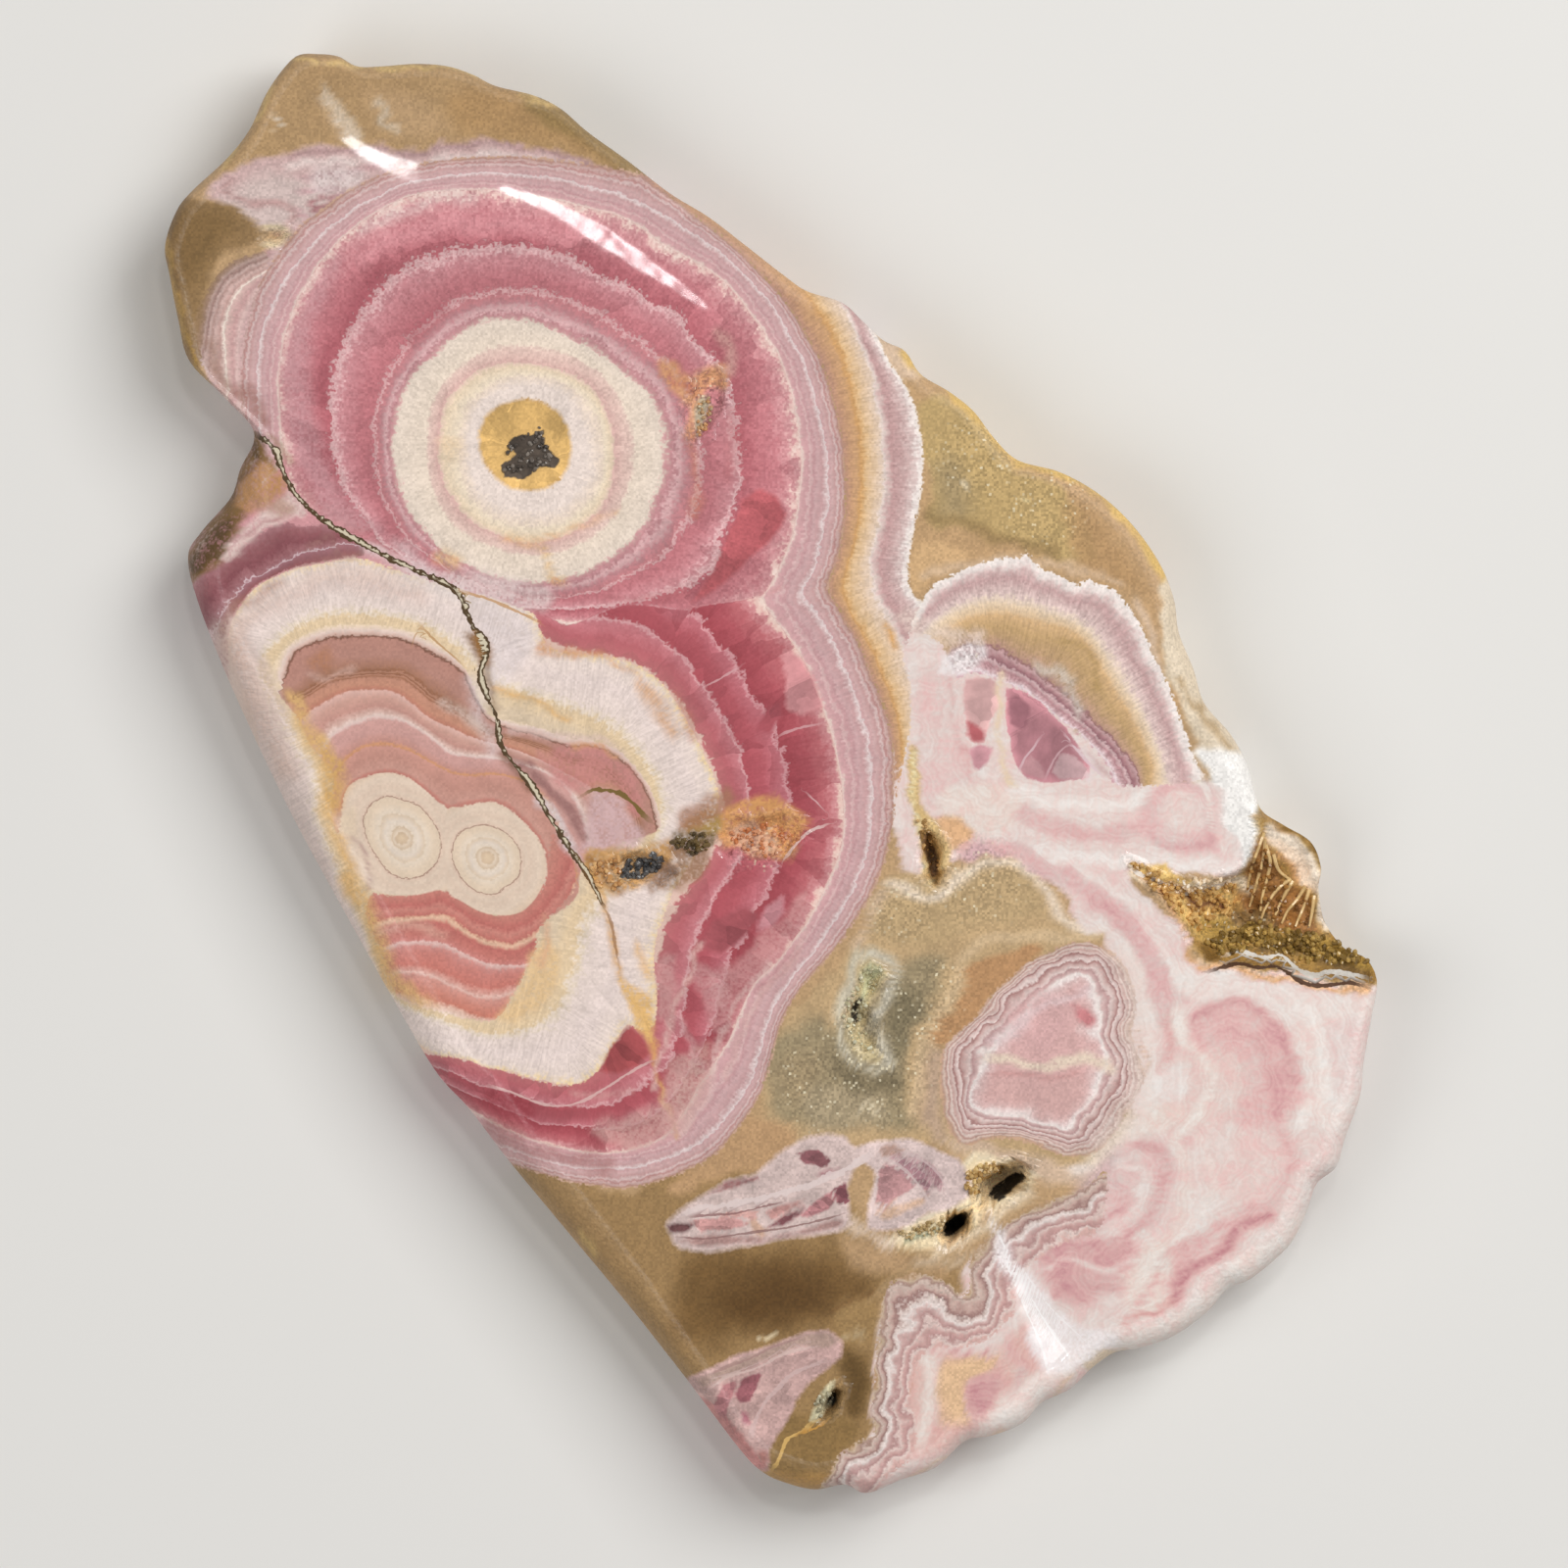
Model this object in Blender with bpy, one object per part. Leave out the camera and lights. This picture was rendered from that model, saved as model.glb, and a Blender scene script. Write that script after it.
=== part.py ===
"""A polished slice of banded rhodochrosite, lying on its sawn back.

The slice is one stone, so it is one solid: a plate with a rolled polished rim, a rough bay in its right side
and small open vugs in its face. X runs to the right and Y up across the polished face, Z is the thickness,
and the origin is the middle of the plate's box on the surface that it rests on.
"""

import math

import bmesh
import bpy
import numpy as np
from mathutils import Matrix, Vector, noise

MM = 0.001

# Driving dimensions, in millimetres.
THICKNESS = 9.0  # sawn back to the middle of the polished face
CROWN = 0.35  # how much the polished face falls from its middle to its farthest rim
FACE_REACH = 70.0  # distance from the middle to that rim
BACK_CHAMFER = 0.5  # broken edge of the sawn back
RIM_LUMP = 0.35  # depth of the hollows in the natural sides
RIM_LUMP_SIZE = 4.0

# Mesh counts: the face is a square grid of 2 x HALF_CELLS cells a side, drawn out to the outline.
HALF_CELLS = 24
RIM_POINTS = 8 * HALF_CELLS
ROLL_STEPS = 4
SIDE_STEPS = 4

# The outline, clockwise from the top left tip. The lower left edge is a straight saw cut. The lower right
# edge is the scalloped skin of the botryoidal growth, with a cusp wherever two of its lumps meet.
OUTLINE = [
    (-38.6, 58.7), (-36.9, 58.8), (-35.3, 58.6), (-33.8, 57.8), (-31.8, 57.8), (-28.9, 58.0),
    (-26.4, 57.8), (-24.3, 57.1), (-22.5, 56.2), (-19.3, 55.4), (-17.1, 54.3), (-14.9, 52.4),
    (-11.7, 50.1), (-8.2, 47.4), (-5.1, 45.5), (-2.1, 43.2), (1.1, 40.7), (3.0, 39.4),
    (5.8, 38.5), (7.5, 37.0), (9.2, 35.4), (11.0, 34.5), (12.3, 32.6), (14.6, 31.2),
    (16.6, 29.6), (18.2, 27.5), (20.2, 25.6), (23.7, 24.6), (26.9, 22.8), (29.6, 20.3),
    (31.8, 17.2), (33.0, 14.2), (33.4, 11.5), (34.6, 8.5), (35.5, 5.7), (37.7, 3.1),
    (39.1, 0.4), (40.0, -2.8), (41.9, -4.2), (44.2, -5.6), (45.1, -7.7), (44.9, -9.4),
    (45.4, -12.1), (47.0, -14.3), (48.8, -15.2), (49.6, -17.1), (49.1, -20.2), (48.5, -23.7),
    (48.2, -26.5), (47.0, -29.9), (46.3, -32.2), (44.7, -33.6), (43.8, -36.1), (42.4, -38.7),
    (39.4, -41.3), (37.4, -42.2), (35.7, -44.1), (33.1, -46.0), (30.3, -47.0), (28.2, -47.4),
    (26.4, -48.6), (24.5, -50.4), (22.2, -51.5), (20.6, -53.2), (18.1, -54.2), (16.0, -54.6),
    (13.5, -56.8), (10.7, -57.8), (7.9, -58.9), (6.1, -58.2), (3.7, -58.6), (1.4, -58.1),
    (-0.6, -57.2), (-2.5, -55.3), (-6.9, -49.5), (-11.7, -43.4), (-16.6, -37.5), (-21.4, -31.7),
    (-24.6, -27.5), (-27.3, -24.5), (-30.4, -19.3), (-34.7, -11.6), (-39.2, -3.3), (-43.7, 6.2),
    (-46.7, 13.6), (-47.7, 17.7), (-46.6, 19.8), (-44.2, 22.6), (-43.4, 24.9), (-42.2, 27.8),
    (-44.6, 30.7), (-47.5, 33.7), (-48.4, 37.0), (-49.1, 40.6), (-49.5, 43.1), (-48.6, 45.9),
    (-47.3, 47.6), (-44.5, 50.2), (-42.6, 52.6), (-41.3, 55.4), (-39.9, 57.5),
]

# How the face rolls over at the rim and how far the side draws in under it, by direction from the middle:
# (degrees from +X, roll width, roll drop, draw-in at the back).
RIM = [
    (-175, 3.0, 3.0, 0.3),  # straight saw cut, rolled and polished
    (-105, 3.0, 3.0, 0.3),
    (-90, 2.2, 2.6, 1.0),
    (-80, 1.6, 2.4, 2.0),  # botryoidal skin
    (-59, 2.0, 2.8, 2.2),
    (-37, 1.8, 2.6, 2.0),
    (-21, 1.0, 1.4, 1.6),
    (-5, 1.0, 1.4, 1.4),  # beside the bay
    (2, 2.0, 2.2, 1.4),
    (28, 1.2, 1.6, 1.0),
    (52, 1.0, 1.4, 0.6),  # thin honey-coloured edge
    (90, 1.0, 1.4, 0.8),
    (123, 0.9, 1.6, 0.6),  # top left tip
    (140, 1.2, 1.8, 0.8),
    (147, 1.4, 2.0, 0.6),  # notch
    (153, 3.2, 4.4, 0.4),  # rough broken slope under the notch
    (159, 2.6, 4.2, 0.4),
    (164, 2.4, 2.8, 0.3),
    (172, 3.0, 3.0, 0.3),
]

# The bay: a crusted hollow that opens through the right side, from its inner tip round and back.
BAY_EDGE = [
    (29.0, -7.0), (31.5, -8.3), (34.3, -9.0), (36.7, -8.6), (38.6, -7.8), (39.5, -6.3),
    (39.8, -4.5), (40.1, -2.0), (43.5, 0.0), (50.7, -2.5), (53.5, -10.0), (52.5, -17.0),
    (46.7, -17.2), (43.9, -16.9), (41.5, -16.1), (38.7, -15.8), (36.3, -15.6), (34.9, -14.3),
    (34.1, -12.5), (32.7, -10.9), (30.9, -9.1),
]
BAY_CENTRE = (42.0, -10.5)
BAY_HALF_CELLS = 9
# Ways in which the bay's floor lies below the face: (x, y, reach, depth), summed as soft mounds.
BAY_DEPTHS = [
    (40.0, -13.5, 4.5, 3.4),  # trough under the lower edge
    (46.5, -14.5, 4.0, 3.2),
    (38.0, -11.0, 3.5, 2.0),
    (47.0, -9.0, 4.5, 2.4),
    (42.6, -8.0, 3.0, 1.3),  # the fibrous crust stands higher here
    (42.5, -3.5, 3.0, 1.0),
]
BAY_TIP_DEPTH = 0.7
BAY_LUMP = 0.55
BAY_LUMP_SIZE = 1.6
BAY_SEED = 3.1
CUTTER_CLEARANCE = 2.0  # how far the bay's cutter stands out of the face

# Vugs and pits open in the polished face: (name, x, y, length, width, turn in degrees, depth).
PITS = [
    ("long_vug", 18.8, -33.5, 5.2, 2.5, 31, 7.0),
    ("deep_vug", 15.2, -37.0, 3.0, 2.0, 38, 7.4),
    ("vug_channel", 17.0, -35.3, 2.4, 0.8, 42, 2.2),
    ("slit", 13.3, -6.9, 4.6, 1.4, 100, 4.0),
    ("kidney_top", 8.0, -17.3, 2.6, 1.7, 70, 1.3),
    ("kidney_bottom", 7.6, -20.6, 4.2, 1.9, -68, 1.6),
    ("crack_pocket", 5.1, -51.3, 2.8, 1.1, 62, 3.0),
    ("honey_pocket", -10.3, -7.7, 5.4, 2.2, -4, 1.5),
    ("honey_hollow", -0.9, -5.3, 6.6, 3.6, 12, 1.0),
    ("rust_hollow", -5.4, 30.2, 6.0, 2.6, 74, 0.9),
    ("small_pit", -40.3, 43.8, 1.6, 1.0, 20, 1.0),
]
PIT_ROUGHNESS = 0.16
PIT_LUMP = 0.5

STONE_COLOUR = (0.62, 0.36, 0.34, 1.0)
STONE_ROUGHNESS = 0.22


def clear_scene():
    for obj in list(bpy.data.objects):
        bpy.data.objects.remove(obj, do_unlink=True)


def smooth_closed(points, steps=8):
    """A closed Catmull-Rom curve through the points, with the given number of steps between two of them."""
    p1 = np.array(points, float)
    p0, p2, p3 = (np.roll(p1, shift, axis=0) for shift in (1, -1, -2))
    curve = []
    for t in np.arange(steps) / steps:
        curve.append(0.5 * (2 * p1 + (p2 - p0) * t + (2 * p0 - 5 * p1 + 4 * p2 - p3) * t**2
                            + (3 * p1 - p0 - 3 * p2 + p3) * t**3))
    return np.stack(curve, axis=1).reshape(-1, 2)


def counter_clockwise(curve):
    x, y = curve[:, 0], curve[:, 1]
    area = np.sum(x * np.roll(y, -1) - y * np.roll(x, -1))
    return curve if area > 0 else curve[::-1]


def spaced(curve, count):
    """The given number of points at even distances along a closed curve."""
    closed = np.vstack([curve, curve[:1]])
    along = np.concatenate([[0], np.cumsum(np.linalg.norm(np.diff(closed, axis=0), axis=1))])
    wanted = np.arange(count) / count * along[-1]
    return np.stack([np.interp(wanted, along, closed[:, axis]) for axis in (0, 1)], axis=1)


def rim_values(points):
    """(roll width, roll drop, draw-in) at each rim point, from its direction out of the middle."""
    table = np.array(RIM, float)
    degrees = np.degrees(np.arctan2(points[:, 1], points[:, 0]))
    return [np.interp(degrees, table[:, 0], table[:, column], period=360) for column in (1, 2, 3)]


def face_height(x, y):
    """Height of the gently crowned polished face."""
    return THICKNESS - CROWN * (x * x + y * y) / FACE_REACH**2


def lumps(x, y, z, size, seed=0.0):
    """Smooth noise from -1 to 1 whose lumps are about size millimetres across."""
    return noise.noise(Vector((x / size + seed, y / size, z / size)))


def grid_index(i, j, half):
    return (i + half) * (2 * half + 1) + (j + half)


def ring_place(i, j):
    """(ring, place on it from 0 to 1) of a grid point, counting square rings out from the middle."""
    ring = max(abs(i), abs(j))
    if ring == 0:
        return 0, 0.0
    if i == ring:
        step = j + ring
    elif j == ring:
        step = 3 * ring - i
    elif i == -ring:
        step = 5 * ring - j
    else:
        step = 7 * ring + i
    return ring, (step / (8 * ring)) % 1.0


def sheet_points(edge, half, centre):
    """A square grid drawn out to a closed edge of 8 x half points, its rings shrunk copies of the edge."""
    closed = np.vstack([edge, edge[:1]])
    places = np.linspace(0, 1, len(closed))
    points = []
    for i in range(-half, half + 1):
        for j in range(-half, half + 1):
            ring, place = ring_place(i, j)
            rim = [np.interp(place, places, closed[:, axis]) for axis in (0, 1)]
            points.append([centre[axis] + ring / half * (rim[axis] - centre[axis]) for axis in (0, 1)])
    return points


def sheet_faces(verts, half, upward):
    faces = []
    for i in range(-half, half):
        for j in range(-half, half):
            corners = [(i, j), (i + 1, j), (i + 1, j + 1), (i, j + 1)]
            face = [verts[grid_index(a, b, half)] for a, b in corners]
            faces.append(face if upward else face[::-1])
    return faces


def border(verts, half):
    """The sheet's outermost vertices in order round the rim."""
    ordered = {}
    for i in range(-half, half + 1):
        for j in range(-half, half + 1):
            ring, place = ring_place(i, j)
            if ring == half:
                ordered[place] = verts[grid_index(i, j, half)]
    return [ordered[place] for place in sorted(ordered)]


def join_loops(mesh, upper, lower):
    """A band of quads from an upper loop to a lower loop of as many vertices, facing out."""
    count = len(upper)
    for k in range(count):
        nxt = (k + 1) % count
        mesh.faces.new((upper[k], lower[k], lower[nxt], upper[nxt]))


def stone_material():
    material = bpy.data.materials.new("polished_rhodochrosite")
    material.use_nodes = True
    shader = material.node_tree.nodes["Principled BSDF"]
    shader.inputs["Base Color"].default_value = STONE_COLOUR
    shader.inputs["Roughness"].default_value = STONE_ROUGHNESS
    shader.inputs["Metallic"].default_value = 0.0
    return material


def finish_object(name, mesh, helper=False):
    """Turns a bmesh in millimetres into a named object in metres."""
    bmesh.ops.scale(mesh, vec=(MM, MM, MM), verts=mesh.verts)
    data = bpy.data.meshes.new(name)
    mesh.to_mesh(data)
    mesh.free()
    obj = bpy.data.objects.new(name, data)
    bpy.context.scene.collection.objects.link(obj)
    if helper:
        obj.hide_render = True
        obj.display_type = "WIRE"
    return obj


def make_plate():
    """The whole plate: crowned face, rolled rim, natural sides and flat sawn back."""
    outline = spaced(counter_clockwise(smooth_closed(OUTLINE)), RIM_POINTS)
    width, drop, draw_in = rim_values(outline)
    outward = outline / np.linalg.norm(outline, axis=1)[:, None]
    face_edge = outline - outward * width[:, None]

    mesh = bmesh.new()
    face_points = sheet_points(face_edge, HALF_CELLS, (0.0, 0.0))
    top = [mesh.verts.new((x, y, face_height(x, y))) for x, y in face_points]
    for face in sheet_faces(top, HALF_CELLS, upward=True):
        mesh.faces.new(face)
    loop = border(top, HALF_CELLS)
    edge_height = np.array([vert.co.z for vert in loop])

    for step in range(1, ROLL_STEPS + 1):
        turn = math.pi / 2 * step / ROLL_STEPS
        ring = outline - outward * (width * (1 - math.sin(turn)))[:, None]
        height = edge_height - drop * (1 - math.cos(turn))
        below = [mesh.verts.new((*ring[k], height[k])) for k in range(RIM_POINTS)]
        join_loops(mesh, loop, below)
        loop = below

    roll_foot = edge_height - drop
    for step in range(1, SIDE_STEPS + 1):
        share = step / SIDE_STEPS
        height = roll_foot * (1 - share) + BACK_CHAMFER * share
        pull = draw_in * share**2
        below = []
        for k in range(RIM_POINTS):
            x, y = outline[k]
            rough = 0.5 + 0.5 * lumps(x, y, height[k], RIM_LUMP_SIZE)
            hollow = RIM_LUMP * rough * min(1.0, draw_in[k]) * share
            inset = pull[k] + hollow
            below.append(mesh.verts.new((*(outline[k] - outward[k] * inset), height[k])))
        join_loops(mesh, loop, below)
        loop = below

    foot = []
    for vert in loop:
        direction = Vector((vert.co.x, vert.co.y, 0)).normalized()
        foot.append(mesh.verts.new((vert.co - direction * BACK_CHAMFER).xy.to_3d()))
    join_loops(mesh, loop, foot)
    mesh.faces.new(foot[::-1])
    return finish_object("rhodochrosite_slice", mesh)


def bay_depth(x, y):
    """How far the bay's floor lies under the face."""
    depth = BAY_TIP_DEPTH
    for at_x, at_y, spread, amount in BAY_DEPTHS:
        depth += amount * math.exp(-((x - at_x) ** 2 + (y - at_y) ** 2) / spread**2)
    return depth + BAY_LUMP * lumps(x, y, 0.0, BAY_LUMP_SIZE, seed=BAY_SEED)


def make_bay_cutter():
    """What is taken away at the bay: a block with a lumpy underside, open to the right."""
    edge = spaced(counter_clockwise(smooth_closed(BAY_EDGE)), 8 * BAY_HALF_CELLS)
    points = sheet_points(edge, BAY_HALF_CELLS, BAY_CENTRE)
    mesh = bmesh.new()
    floor = [mesh.verts.new((x, y, THICKNESS - bay_depth(x, y))) for x, y in points]
    lid = [mesh.verts.new((x, y, THICKNESS + CUTTER_CLEARANCE)) for x, y in points]
    under = sheet_faces(floor, BAY_HALF_CELLS, upward=False)
    over = sheet_faces(lid, BAY_HALF_CELLS, upward=True)
    for face in under + over:
        mesh.faces.new(face)
    join_loops(mesh, border(lid, BAY_HALF_CELLS), border(floor, BAY_HALF_CELLS))
    return finish_object("bay_cutter", mesh, helper=True)


def make_pit_cutter(name, x, y, length, width, turn, depth):
    """A rough egg whose lower half is the pit, its middle at the height of the polished face."""
    mesh = bmesh.new()
    bmesh.ops.create_icosphere(mesh, subdivisions=2, radius=1.0)
    for vert in mesh.verts:
        swell = 1 + PIT_ROUGHNESS * lumps(*vert.co, PIT_LUMP, seed=x)
        vert.co = Vector((vert.co.x * length / 2, vert.co.y * width / 2, vert.co.z * depth)) * swell
    turned = Matrix.Translation((x, y, face_height(x, y))) @ Matrix.Rotation(math.radians(turn), 4, "Z")
    bmesh.ops.transform(mesh, matrix=turned, verts=mesh.verts)
    return finish_object(name + "_cutter", mesh, helper=True)


def cut(body, cutter):
    modifier = body.modifiers.new("cut_" + cutter.name, "BOOLEAN")
    modifier.operation = "DIFFERENCE"
    modifier.solver = "EXACT"
    modifier.object = cutter


def main():
    clear_scene()
    plate = make_plate()
    plate.data.materials.append(stone_material())
    cut(plate, make_bay_cutter())
    for pit in PITS:
        cut(plate, make_pit_cutter(*pit))


main()
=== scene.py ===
# %% [markdown]
# # A polished slice of banded rhodochrosite
# A stalactite of rhodochrosite grows outward, coat over coat, and a saw cuts across it. The slice shows every
# coat as a ring. This lesson builds the stone as one closed mesh and lets the rings be level fields that are
# worked out at its points, so the material can draw bands much finer than the mesh.

# %% Load the frame
import math

import bpy
import numpy as np
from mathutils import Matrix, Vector


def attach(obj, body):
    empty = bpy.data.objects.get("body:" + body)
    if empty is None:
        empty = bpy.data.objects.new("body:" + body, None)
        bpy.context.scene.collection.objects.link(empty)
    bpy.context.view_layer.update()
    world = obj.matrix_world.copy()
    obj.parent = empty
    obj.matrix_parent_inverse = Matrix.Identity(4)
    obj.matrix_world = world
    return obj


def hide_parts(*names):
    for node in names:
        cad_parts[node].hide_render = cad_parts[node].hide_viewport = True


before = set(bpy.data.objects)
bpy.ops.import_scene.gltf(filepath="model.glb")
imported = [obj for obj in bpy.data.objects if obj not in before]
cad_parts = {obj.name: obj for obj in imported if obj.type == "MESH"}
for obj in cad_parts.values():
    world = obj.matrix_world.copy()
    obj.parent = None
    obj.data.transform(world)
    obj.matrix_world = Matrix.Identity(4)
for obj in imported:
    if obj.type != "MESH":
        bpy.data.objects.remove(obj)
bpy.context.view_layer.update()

# %% [markdown]
# ## The drawing sheet
# A pattern this irregular is drawn the way a geologist maps an outcrop. The map lies on squared
# paper, 0.08 mm to a square, with x to the right and y downwards. Contours are flat lists of x,y pairs on
# that paper, and smooth curves are put through them. Colours are codes of two hexadecimal digits each for
# red, green and blue.

# %% Drawing sheet
MM = 0.001
SQUARE = 0.08  # millimetres on the stone
FRAME_SQUARES = 1600
SHEET_MIDDLE = (786.0, 789.0)  # the square that lies over the middle of the stone


def pairs(numbers):
    """A flat list of x,y, x,y and so on as rows of two numbers."""
    return np.reshape(numbers, (-1, 2)).astype(float)


def joined(*parts):
    """One row of points from several."""
    return np.vstack([pairs(part) for part in parts])


def to_sheet(x, y):
    """Places in millimetres on the stone to squares on the sheet."""
    return np.stack([SHEET_MIDDLE[0] + x / SQUARE, SHEET_MIDDLE[1] - y / SQUARE], axis=-1)


def to_stone(points):
    """Squares on the sheet to millimetres on the stone."""
    x, y = pairs(points).T
    return np.column_stack([(x - SHEET_MIDDLE[0]) * SQUARE, (SHEET_MIDDLE[1] - y) * SQUARE])


def smooth(points, closed=False, steps=6):
    """A Catmull-Rom curve through the points: each span is a cubic whose end slopes are half the chord
    between the neighbours of that end."""
    p1 = pairs(points)
    if closed:
        p0, p2, p3 = (np.roll(p1, shift, axis=0) for shift in (1, -1, -2))
    else:
        padded = np.vstack([2 * p1[0] - p1[1], p1, 2 * p1[-1] - p1[-2]])
        p0, p1, p2, p3 = padded[:-3], padded[1:-2], padded[2:-1], padded[3:]
    spans = []
    for t in np.arange(steps) / steps:
        spans.append(0.5 * (2 * p1 + (p2 - p0) * t + (2 * p0 - 5 * p1 + 4 * p2 - p3) * t**2
                            + (3 * p1 - p0 - 3 * p2 + p3) * t**3))
    curve = np.stack(spans, axis=1).reshape(-1, 2)
    return curve if closed else np.vstack([curve, p2[-1:]])


def random_field(x, y, size, seed):
    """Smooth noise from -1 to 1: random heights on a square lattice, eased from node to node."""
    table = np.random.default_rng(seed).uniform(-1, 1, (64, 64))
    u, v = x / size, y / size
    i, j = np.floor(u).astype(int), np.floor(v).astype(int)
    fu, fv = u - i, v - j
    fu, fv = fu * fu * (3 - 2 * fu), fv * fv * (3 - 2 * fv)
    rows = [table[(i + a) % 64, (j + b) % 64] for a in (0, 1) for b in (0, 1)]
    return (rows[0] * (1 - fu) * (1 - fv) + rows[1] * (1 - fu) * fv
            + rows[2] * fu * (1 - fv) + rows[3] * fu * fv)


def eased(value, low, high):
    """0 below low, 1 above high, and a smooth step between."""
    share = np.clip((value - low) / (high - low), 0, 1)
    return share * share * (3 - 2 * share)


print("sheet covers", round(FRAME_SQUARES * SQUARE), "mm each way")

# %% [markdown]
# ## The stone's shape
# The slice is a plate 9 mm thick. Its face is slightly crowned, its rim rolls over where it was polished by
# hand, and its natural sides draw in towards the sawn back. One grid of squares, drawn out so that its edge
# follows the outline, covers the face. Rings of points then run over the rim, down the side and under the
# back, so the mesh is closed with no seam.

# %% Outline and rim
THICKNESS = 9.0
CROWN = 0.35
FACE_REACH = 70.0
BACK_CHAMFER = 0.5
RIM_LUMP = 0.3

# The outline in millimetres, clockwise from the top left tip, as the part's source has it.
OUTLINE = [
    -38.6,58.7, -36.9,58.8, -35.3,58.6, -33.8,57.8, -31.8,57.8, -28.9,58.0, -26.4,57.8, -24.3,57.1,
    -22.5,56.2, -19.3,55.4, -17.1,54.3, -14.9,52.4, -11.7,50.1, -8.2,47.4, -5.1,45.5, -2.1,43.2, 1.1,40.7,
    3.0,39.4, 5.8,38.5, 7.5,37.0, 9.2,35.4, 11.0,34.5, 12.3,32.6, 14.6,31.2, 16.6,29.6, 18.2,27.5, 20.2,25.6,
    23.7,24.6, 26.9,22.8, 29.6,20.3, 31.8,17.2, 33.0,14.2, 33.4,11.5, 34.6,8.5, 35.5,5.7, 37.7,3.1, 39.1,0.4,
    40.0,-2.8, 41.9,-4.2, 44.2,-5.6, 45.1,-7.7, 44.9,-9.4, 45.4,-12.1, 47.0,-14.3, 48.8,-15.2, 49.6,-17.1,
    49.1,-20.2, 48.5,-23.7, 48.2,-26.5, 47.0,-29.9, 46.3,-32.2, 44.7,-33.6, 43.8,-36.1, 42.4,-38.7,
    39.4,-41.3, 37.4,-42.2, 35.7,-44.1, 33.1,-46.0, 30.3,-47.0, 28.2,-47.4, 26.4,-48.6, 24.5,-50.4,
    22.2,-51.5, 20.6,-53.2, 18.1,-54.2, 16.0,-54.6, 13.5,-56.8, 10.7,-57.8, 7.9,-58.9, 6.1,-58.2, 3.7,-58.6,
    1.4,-58.1, -0.6,-57.2, -2.5,-55.3, -6.9,-49.5, -11.7,-43.4, -16.6,-37.5, -21.4,-31.7, -24.6,-27.5,
    -27.3,-24.5, -30.4,-19.3, -34.7,-11.6, -39.2,-3.3, -43.7,6.2, -46.7,13.6, -47.7,17.7, -46.6,19.8,
    -44.2,22.6, -43.4,24.9, -42.2,27.8, -44.6,30.7, -47.5,33.7, -48.4,37.0, -49.1,40.6, -49.5,43.1,
    -48.6,45.9, -47.3,47.6, -44.5,50.2, -42.6,52.6, -41.3,55.4, -39.9,57.5]
# How the face rolls over and how far the side draws in under it: degrees from +X, width, drop, draw-in.
RIM = [
    (-175, 3.0, 3.0, 0.3), (-105, 3.0, 3.0, 0.3), (-90, 2.2, 2.6, 1.0), (-80, 1.6, 2.4, 2.0),
    (-59, 2.0, 2.8, 2.2), (-37, 1.8, 2.6, 2.0), (-21, 1.0, 1.4, 1.6), (-5, 1.0, 1.4, 1.4),
    (2, 2.0, 2.2, 1.4), (28, 1.2, 1.6, 1.0), (52, 1.0, 1.4, 0.6), (90, 1.0, 1.4, 0.8),
    (123, 0.9, 1.6, 0.6), (140, 1.2, 1.8, 0.8), (147, 1.4, 2.0, 0.6), (153, 3.2, 4.4, 0.4),
    (159, 2.6, 4.2, 0.4), (164, 2.4, 2.8, 0.3), (172, 3.0, 3.0, 0.3),
]
HALF_CELLS = 124  # the face is a grid of twice this many cells a side
RIM_POINTS = 8 * HALF_CELLS
ROLL_STEPS = 8
SIDE_STEPS = 7
BACK_SHRINK = 0.985  # the back's grid ends a little inside the last ring

closed_curve = smooth(OUTLINE, closed=True, steps=8)[::-1]
lengths = np.linalg.norm(np.diff(np.vstack([closed_curve, closed_curve[:1]]), axis=0), axis=1)
along_curve = np.concatenate([[0], np.cumsum(lengths)])
wanted = np.arange(RIM_POINTS) / RIM_POINTS * along_curve[-1]
outline = np.stack([np.interp(wanted, along_curve, np.append(closed_curve[:, axis], closed_curve[0, axis]))
                    for axis in (0, 1)], axis=1)
outward = outline / np.linalg.norm(outline, axis=1)[:, None]
rim_table = np.array(RIM)
rim_degrees = np.degrees(np.arctan2(outline[:, 1], outline[:, 0]))
roll_width, roll_drop, draw_in = (np.interp(rim_degrees, rim_table[:, 0], rim_table[:, column], period=360)
                                  for column in (1, 2, 3))
print("outline", round(along_curve[-1], 1), "mm round")

# %% [markdown]
# ## Hollows
# Vugs are holes that the growth never filled. Each is half an egg pushed into the face: its depth falls as
# the square root of one less the squared distance from the middle, which gives steep walls. The bay at the
# right is an open crust, so its floor is lumpy and lies a few millimetres down.

# %% Hollows in the face
# (x, y, length, width, turn in degrees, depth), in millimetres, as in the part's source.
PITS = {
    "long_vug": (18.8, -33.5, 5.2, 2.5, 31, 7.0),
    "deep_vug": (15.2, -37.0, 3.0, 2.0, 38, 7.4),
    "vug_channel": (17.0, -35.3, 2.4, 0.8, 42, 2.2),
    "slit": (13.3, -6.9, 4.6, 1.4, 100, 4.0),
    "kidney_top": (8.0, -17.3, 2.6, 1.7, 70, 1.3),
    "kidney_bottom": (7.6, -20.6, 4.2, 1.9, -68, 1.6),
    "crack_pocket": (5.1, -51.3, 2.8, 1.1, 62, 3.0),
    "honey_pocket": (-10.3, -7.7, 5.4, 2.2, -4, 1.5),
    "honey_hollow": (-0.9, -5.3, 6.6, 3.6, 12, 1.0),
    "rust_hollow": (-5.4, 30.2, 6.0, 2.6, 74, 0.9),
    "small_pit": (-40.3, 43.8, 1.6, 1.0, 20, 1.0),
}
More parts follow.
